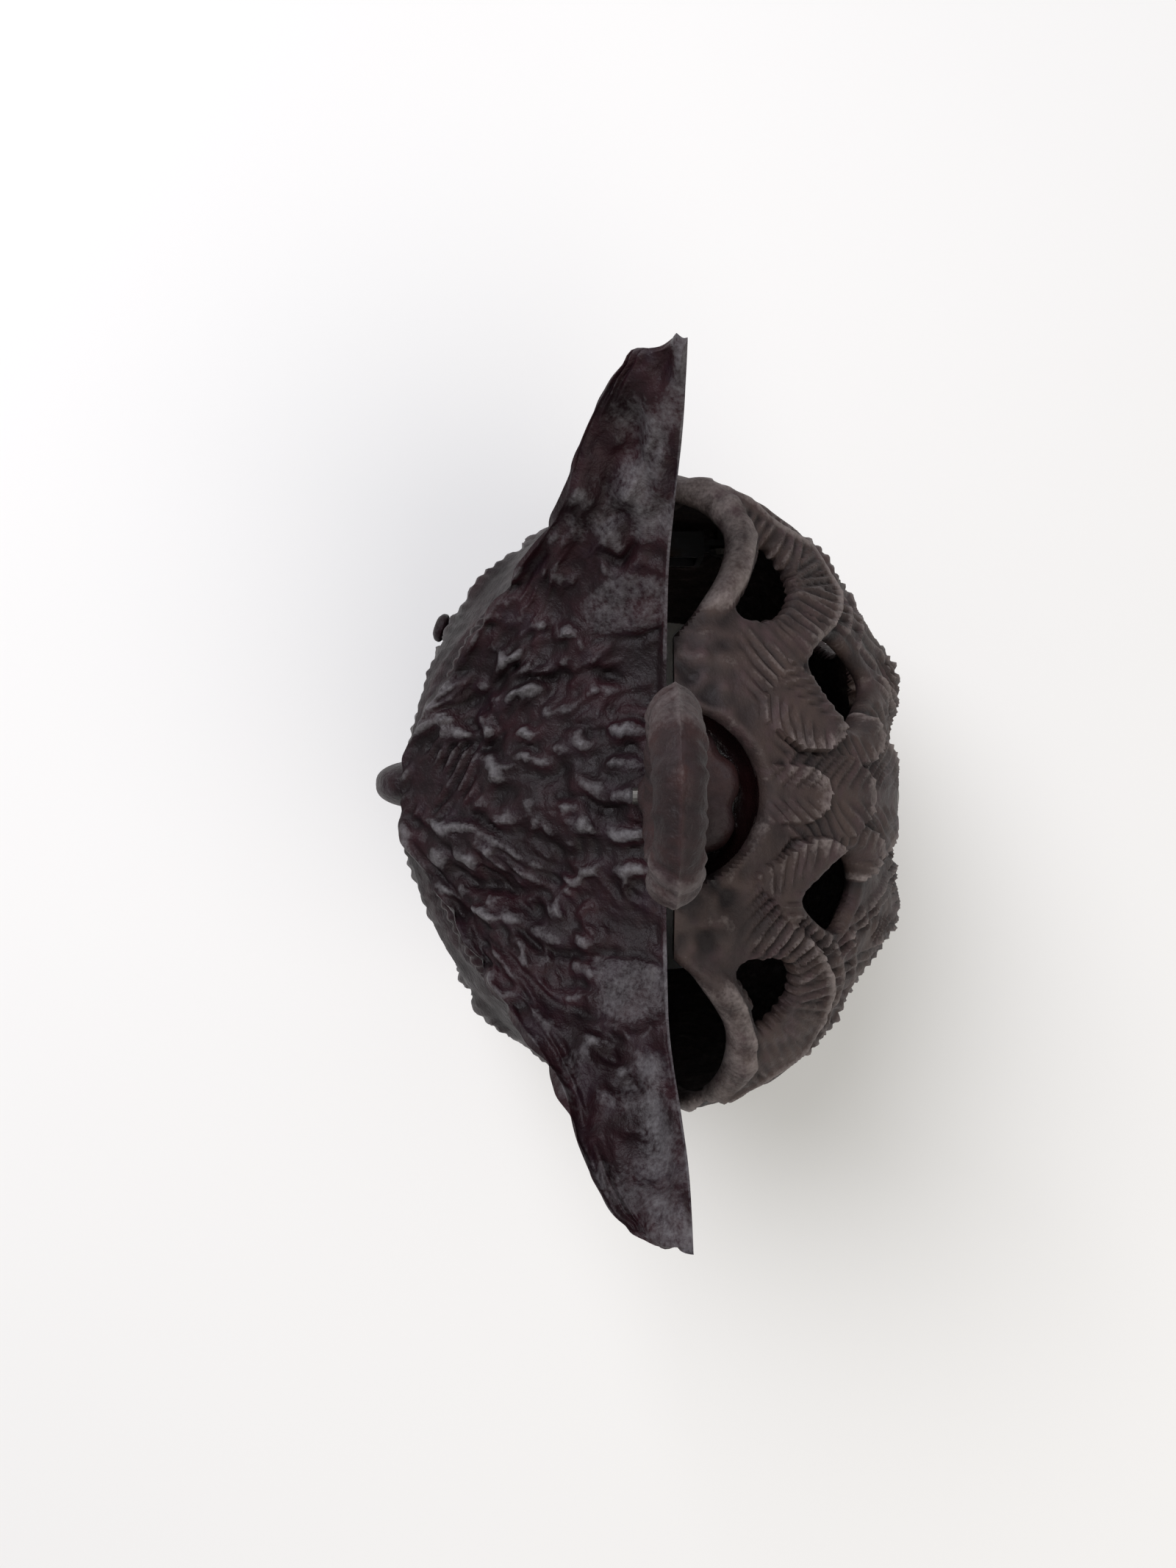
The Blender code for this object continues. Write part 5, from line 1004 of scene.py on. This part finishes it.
def makeFeetAndTail():
    def clawed(unit):
        # Toe: thick at two knuckles, pinched between them and at the claw.
        x, y, z = unit.T
        girth = 1 - 0.12 * np.cos(6.28 * y / 0.9) - 0.35 * smooth(0.55, 1.0, -y)
        return np.stack([x * girth, y, z * girth], axis=-1)

    toes, half = [], features["toeThick"] / 2
    sizes = np.array([half, features["toeLength"] / 2, half])
    apart = features["toeInner"] + features["toeSpacing"] * np.arange(3)
    for x in (*-apart, *apart):
        side = (1 - (x / owl["baseHalf"]) ** 2) ** (owl["frontCorner"] / 2)
        centre = np.array([x, 0.6 - owl["frontBase"] * side, half + 0.2])
        points, faces = ellipsoid(centre, sizes, 32, 40, clawed)
        points[:, 1] = np.minimum(points[:, 1], centre[1] + 1.2)  # flat inside the wall
        toes.append((points, faces))
    addPiece("toes", *joined(toes), **onDoor)

    def feathered(unit):
        # Tail: long grooves between five feathers.
        x, y, z = unit.T
        return np.stack([x, y * (1 - 0.07 * np.cos(2 * np.pi * x * 2.5) ** 8), z], axis=-1)

    centre = np.array([0, owl["backBase"] - 2, features["tailMiddle"]])
    points, faces = ellipsoid(centre, np.array(features["tailSizes"]), 160, 48, feathered)
    points[:, 1] = np.maximum(points[:, 1], centre[1] - 0.6)
    addPiece("tail", points, faces, **onBack)


hinge = dict(knuckleRadius=3.2, knuckleHeight=7, armThick=3.4, boreRadius=1.8, gap=0.15, edge=0.35,
             heights=(36, 104))


def lug(low, high, way):
    # Knuckle and arm as one plate: an outline as seen from the hinge's axis, a bore, and corners
    # taken off at the top and bottom.
    inner = float(min(halfWidth(np.array([low, high])))) - owl["wall"] / 2
    near = owl["seam"] + 0.1
    start = math.pi - math.asin(near / hinge["knuckleRadius"])
    arc = np.linspace(start, 2.5 * math.pi, 60)
    knuckle = hinge["knuckleRadius"] * np.stack([np.cos(arc), np.sin(arc)], axis=1)
    end = inner - owl["hingeX"]
    arm = np.array([(end, owl["seam"] + hinge["armThick"]), (end, near)])
    outline = np.concatenate([knuckle, arm])
    length = np.linalg.norm(outline, axis=1, keepdims=True)
    turn = np.arctan2(outline[:, 1], outline[:, 0])
    bore = hinge["boreRadius"] * np.stack([np.cos(turn), np.sin(turn)], axis=1)
    trimmed, edge = outline * (1 - hinge["edge"] / length), hinge["edge"]
    rings = [(bore, low), (trimmed, low), (outline, low + edge), (outline, high - edge),
             (trimmed, high), (bore, high)]
    points = np.stack([np.column_stack([owl["hingeX"] + x, way * y, 0 * x + z])
                       for (x, y), z in ((flat.T, z) for flat, z in rings)], axis=1).reshape(-1, 3)
    faces = gridFaces(len(outline), len(rings), around=True, closed=True)
    return points, [faces if signedVolume(points, [faces]) > 0 else faces[:, ::-1]]


def makeHinges():
    for name, way, place in (("doorLugs", -1, onDoor), ("backLugs", 1, onBack)):
        parts = [lug(*sorted((z - way * hinge["gap"], z - way * hinge["knuckleHeight"])), way)
                 for z in hinge["heights"]]
        addPiece(name, *joined(parts), **place, flat=30)


grip = dict(outer=14.6, bar=7, middleZ=171.4, bossRadius=4.2, bossLow=154.8, bossHigh=160.3)


def aroundScrew(radius, turn, z):  # points round the axis of the press screw
    y = owl["screwY"] + radius * np.sin(turn)
    return np.stack(np.broadcast_arrays(radius * np.cos(turn), y, z), axis=-1)


def makeRing():
    # A lens section carried round a circle. Its two corners are the parting line, and low noise
    # makes it a little uneven, as a hand-fettled casting is.
    around, section = 240, 72
    turn, roll = fullTurn(around)[:, None], fullTurn(section)[None, :]
    circleX, circleZ = 4.5 * np.cos(turn), 4.5 * np.sin(turn)  # keeps the noise joined round the ring
    swell = softNoise(circleX + 9, circleZ + 9 + 0.6 * np.cos(roll), 31) - 0.5
    dents = softNoise(2.3 * circleX + 20 + np.cos(roll), 2.3 * circleZ + 20 + np.sin(roll), 32) - 0.5
    thick = np.sign(np.sin(roll)) * np.abs(np.sin(roll)) ** 1.1
    reach = np.sign(np.cos(roll)) * np.abs(np.cos(roll)) ** 1.25
    parting = bump(np.abs(np.sin(roll)), 0, 0.13) * (np.cos(roll) > 0)
    bar = grip["bar"] / 2
    radius = grip["outer"] - bar + bar * reach + 0.8 * swell + 0.5 * dents - 0.3 + 0.3 * parting
    y = owl["screwY"] + thick * bar * (0.97 + 0.16 * swell) + 0.6 * dents * np.sin(roll)
    z = np.minimum(grip["middleZ"] + radius * np.sin(turn), grip["middleZ"] + grip["outer"])
    points = np.stack([radius * np.cos(turn), y, z], axis=-1)
    ends = smooth(0.45, 0.85, np.abs(np.cos(turn)) + 0.25 * swell)  # handled at its two ends
    crest = np.clip(0.25 + 0.55 * ends + 0.35 * parting + 0.25 * dents, 0, 1)
    addPiece("ringGrip", points, [gridFaces(around, section, around=True, closed=True)], "screw", gripIron,
             ["ring_grip"], np.broadcast_to(crest, (around, section)).reshape(-1))


def makeGripBoss():
    # Turned stem under the ring, narrower above, where the ring is cast on it.
    low, high, radius = grip["bossLow"], grip["bossHigh"], grip["bossRadius"]
    profile = [(3.85, low), (radius - 0.5, low), (radius, low + 0.5), (radius, high - 1.2),
               (radius - 0.6, high - 0.2), (0.62 * radius, high + 1.2), (0.5 * radius, high + 3.2),
               (0.1, high + 3.4)]
    points, faces = turnedBody(rounded(profile, 0.5), (0, owl["screwY"], 0), sides=56)
    addPiece("gripBoss", points, faces, "screw", gripIron, ["ring_grip"])


bush = dict(low=141.3, high=146.2, size=11.6, bore=3.85, lobes=0.05, reach=0.6)


def makeBush():
    # Flange with three lobes: the radius swells and shrinks three times round, its edges rounded.
    low, high = bush["low"], bush["high"]
    turn = fullTurn(180)[:, None]
    cosine, sine = np.cos(turn), np.sin(turn)
    wave = 1 - 2 * np.abs(np.cos(4 * turn + 0.6)) ** 4
    lobed = bush["size"] * (1 - bush["lobes"] + bush["lobes"] * wave)
    lobed = lobed + bush["reach"] * smooth(0.1, 0.8, sine) - 0.5 * smooth(0, 0.5, -sine)
    lobed = lobed + 0.5 * (softNoise(2 * cosine + 5, 2 * sine + 5, 41) - 0.5)
    inset, height = rounded([(8, low), (0.5, low), (0, low + 0.6), (0, high - 1.3), (1.2, high - 0.1),
                             (4.5, high + 0.1), (6.2, high + 0.5), (8, high + 0.5)], 0.6).T
    radius = lobed - inset * (lobed - bush["bore"]) / 8
    dents = 0.35 * (softNoise(radius * cosine / 2.2 + 30, radius * sine / 2.2 + 30, 42) - 0.5)
    z = height + (dents - 1.6 * smooth(0, 0.3, -sine)) * (height > low + 1)
    points = aroundScrew(radius, turn, z)
    faces = gridFaces(*points.shape[:2], around=True, closed=True)
    addPiece("threadedBush", points, [faces], "body", gripIron, ["threaded_bush"],
             np.clip(0.45 + dents, 0, 1).reshape(-1))


bowl = dict(start=12, end=168, thick=0.15, radii=(11.6, 12.6, 13.3, 13.9, 14.25, 14.35),
            heights=(141.25, 141.5, 142.2, 143.6, 145.6, 147.6))


def makePocketBowl():
    # The oily wall of the pocket: a thin half bowl that climbs from the frame's head to the rim.
    turn = np.linspace(math.radians(bowl["start"]), math.radians(bowl["end"]), 120)[:, None]
    radius = np.array(bowl["radii"])
    upper = aroundScrew(radius, turn, bowl["heights"] + 0.35 * (softNoise(turn * 9, radius, 51) - 0.5))
    lower = upper + bowl["thick"] * np.stack([np.cos(turn), np.sin(turn), 0 * turn - 1], axis=-1)
    sheet = np.concatenate([upper, lower[:, ::-1]], axis=1)
    columns, rows = sheet.shape[:2]
    ends = [np.arange(rows)[None, ::-1], (columns - 1) * rows + np.arange(rows)[None, :]]
    addPiece("pocketBowl", sheet, [gridFaces(columns, rows, closed=True)] + ends, "body", pocketIron,
             crest=0.3)


screw = dict(low=43.0, top=159.8, core=2.85, outer=3.5, lead=6.0, foot=4.6, footRadius=2.5)


def makeScrew():
    # Two-start thread: the radius follows a rounded trapezium of the height less the turn.
    low, top = screw["low"], screw["top"]
    around, rows = 40, 470
    turn, z = fullTurn(around)[:, None], np.linspace(low, top, rows)[None, :]
    phase = (2 * z / screw["lead"] - turn / np.pi) % 1
    tooth = smooth(0.12, 0.34, phase) * (1 - smooth(0.62, 0.84, phase))
    threaded = smooth(low + 5, low + 7, z) * (1 - smooth(top - 9, top - 7, z))
    radius = screw["core"] + (screw["outer"] - screw["core"]) * np.maximum(tooth, 1 - threaded)
    radius = np.where(z < low + screw["foot"], screw["footRadius"], radius)
    spots = aroundScrew(radius, turn, z).reshape(-1, 3)
    points, faces = capped(spots, around, rows, [0, owl["screwY"], low], [0, owl["screwY"], top])
    addPiece("pressScrew", points, faces, "screw", screwSteel, ["spindle"])


knob = dict(share=0.57, height=80, radius=3, reach=4.6, shank=1.6, foot=1.5, inside=6.7)


def makeKnob():
    # Turned knob on the door: a waist under a flattened ball.
    angle = math.acos(-knob["share"])
    row = knob["height"] / neck
    spots = frontForm(np.array([angle, angle + 0.02, angle]), np.array([row, row, row + 0.02]))
    normal = np.cross(spots[1] - spots[0], spots[2] - spots[0])
    normal *= -np.sign(normal[1]) / np.linalg.norm(normal)
    radius, reach, foot = knob["radius"], knob["reach"], knob["foot"]
    profile = [(0.1, -knob["inside"]), (knob["shank"], -knob["inside"]), (knob["shank"], foot),
               (0.75 * radius, foot), (0.72 * radius, foot + 0.4), (0.58 * radius, 0.45 * reach),
               (0.97 * radius, 0.6 * reach), (radius, 0.72 * reach), (0.93 * radius, 0.86 * reach),
               (0.6 * radius, 1.01 * reach), (0.1, 1.04 * reach)]
    points, faces = turnedBody(rounded(profile, 0.35), spots[0], normal, 64)
    addPiece("pullKnob", points, faces, "door", doorIron, ["pull_knob"], 0.55)


for make in (makeFace, makeFeetAndTail, makeHinges):
    make()
print("face, feet, tail and hinges made")
for make in (makeRing, makeGripBoss, makeBush, makePocketBowl, makeScrew, makeKnob):
    make()
print("press and knob made")

# Finishes on the CAD nodes that stay as they are.
finishOf = {"press_frame": pressIron, "nut_cup": pressIron, "pressure_pad": pressIron,
            "catch_clip": springSteel, "catch_tongue": springSteel}
for name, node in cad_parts.items():
    node.data.materials.clear()
    node.data.materials.append(finishOf.get(name, screwSteel))

# Each light: place in m, width in m, power in W and colour.
stage = dict(floorLow="#e9e8e5", floorHigh="#f1f0ee", floorHalf=1.5, sky="#f2f3f4", skyStrength=0.4,
             aimHeight=0.09, window=((-0.5, -0.4, 1.05), 0.7, 10.5, "#f8f8ff"),
             fill=((0.55, 0.45, 1.0), 1.0, 5.5, "#fffaf2"))


def areaLight(name, place, size, power, colour):  # round, aimed at the middle of the owl
    data = bpy.data.lights.new(name, "AREA")
    data.shape, data.size, data.energy = "DISK", size, power
    data.color = linearColour(colour)[:3]
    lamp = addObject(name, data)
    lamp.location = place
    x, y, z = np.array([0, 0, stage["aimHeight"]]) - place
    lamp.rotation_euler = (math.atan2(math.hypot(x, y), -z), 0, math.atan2(y, x) - math.pi / 2)


def makeStage():
    # Matt white paint, a little cloudy.
    paint, tree, shader, place = newFinish("paintedTable")
    cloud = addNode(tree, "TexNoise", {"Vector": place, "Scale": 1 / 0.35, "Detail": 2.0})
    shade = addNode(tree, "Mix", {0: cloud.outputs["Fac"], 6: linearColour(stage["floorLow"]),
                                  7: linearColour(stage["floorHigh"])}, data_type="RGBA")
    tree.links.new(shade.outputs[2], shader.inputs["Base Color"])
    shader.inputs["Roughness"].default_value = 0.6
    mesh = bpy.data.meshes.new("floor")
    span = np.linspace(-stage["floorHalf"], stage["floorHalf"], 13)
    x, y = np.meshgrid(span, span, indexing="ij")
    spots = np.stack([x, y, 0 * x], axis=-1).reshape(-1, 3)
    mesh.from_pydata(spots.tolist(), [], gridFaces(len(span), len(span)).tolist())
    mesh.materials.append(paint)
    addObject("floor", mesh)
    world = bpy.data.worlds.new("studio")
    bpy.context.scene.world = world
    world.use_nodes = True
    sky = world.node_tree.nodes["Background"]
    sky.inputs["Color"].default_value = linearColour(stage["sky"])
    sky.inputs["Strength"].default_value = stage["skyStrength"]
    areaLight("windowLight", *stage["window"])
    areaLight("fillLight", *stage["fill"])


view = dict(place=(0, -12, 330), lens=28.08, shift=0.0077)  # mm


def makeCamera():
    # Straight down from close above the brow, with -X at the top of the image.
    data = bpy.data.cameras.new("camera")
    data.lens, data.shift_y, data.clip_start = view["lens"], view["shift"], 0.01
    camera = addObject("camera", data)
    camera.location = (np.array(view["place"]) + homePoint) * mm
    camera.rotation_euler = (0, 0, math.pi / 2)
    bpy.context.scene.camera = camera


makeStage()
makeCamera()
bpy.context.scene.view_settings.view_transform = "Standard"
print("stage ready")
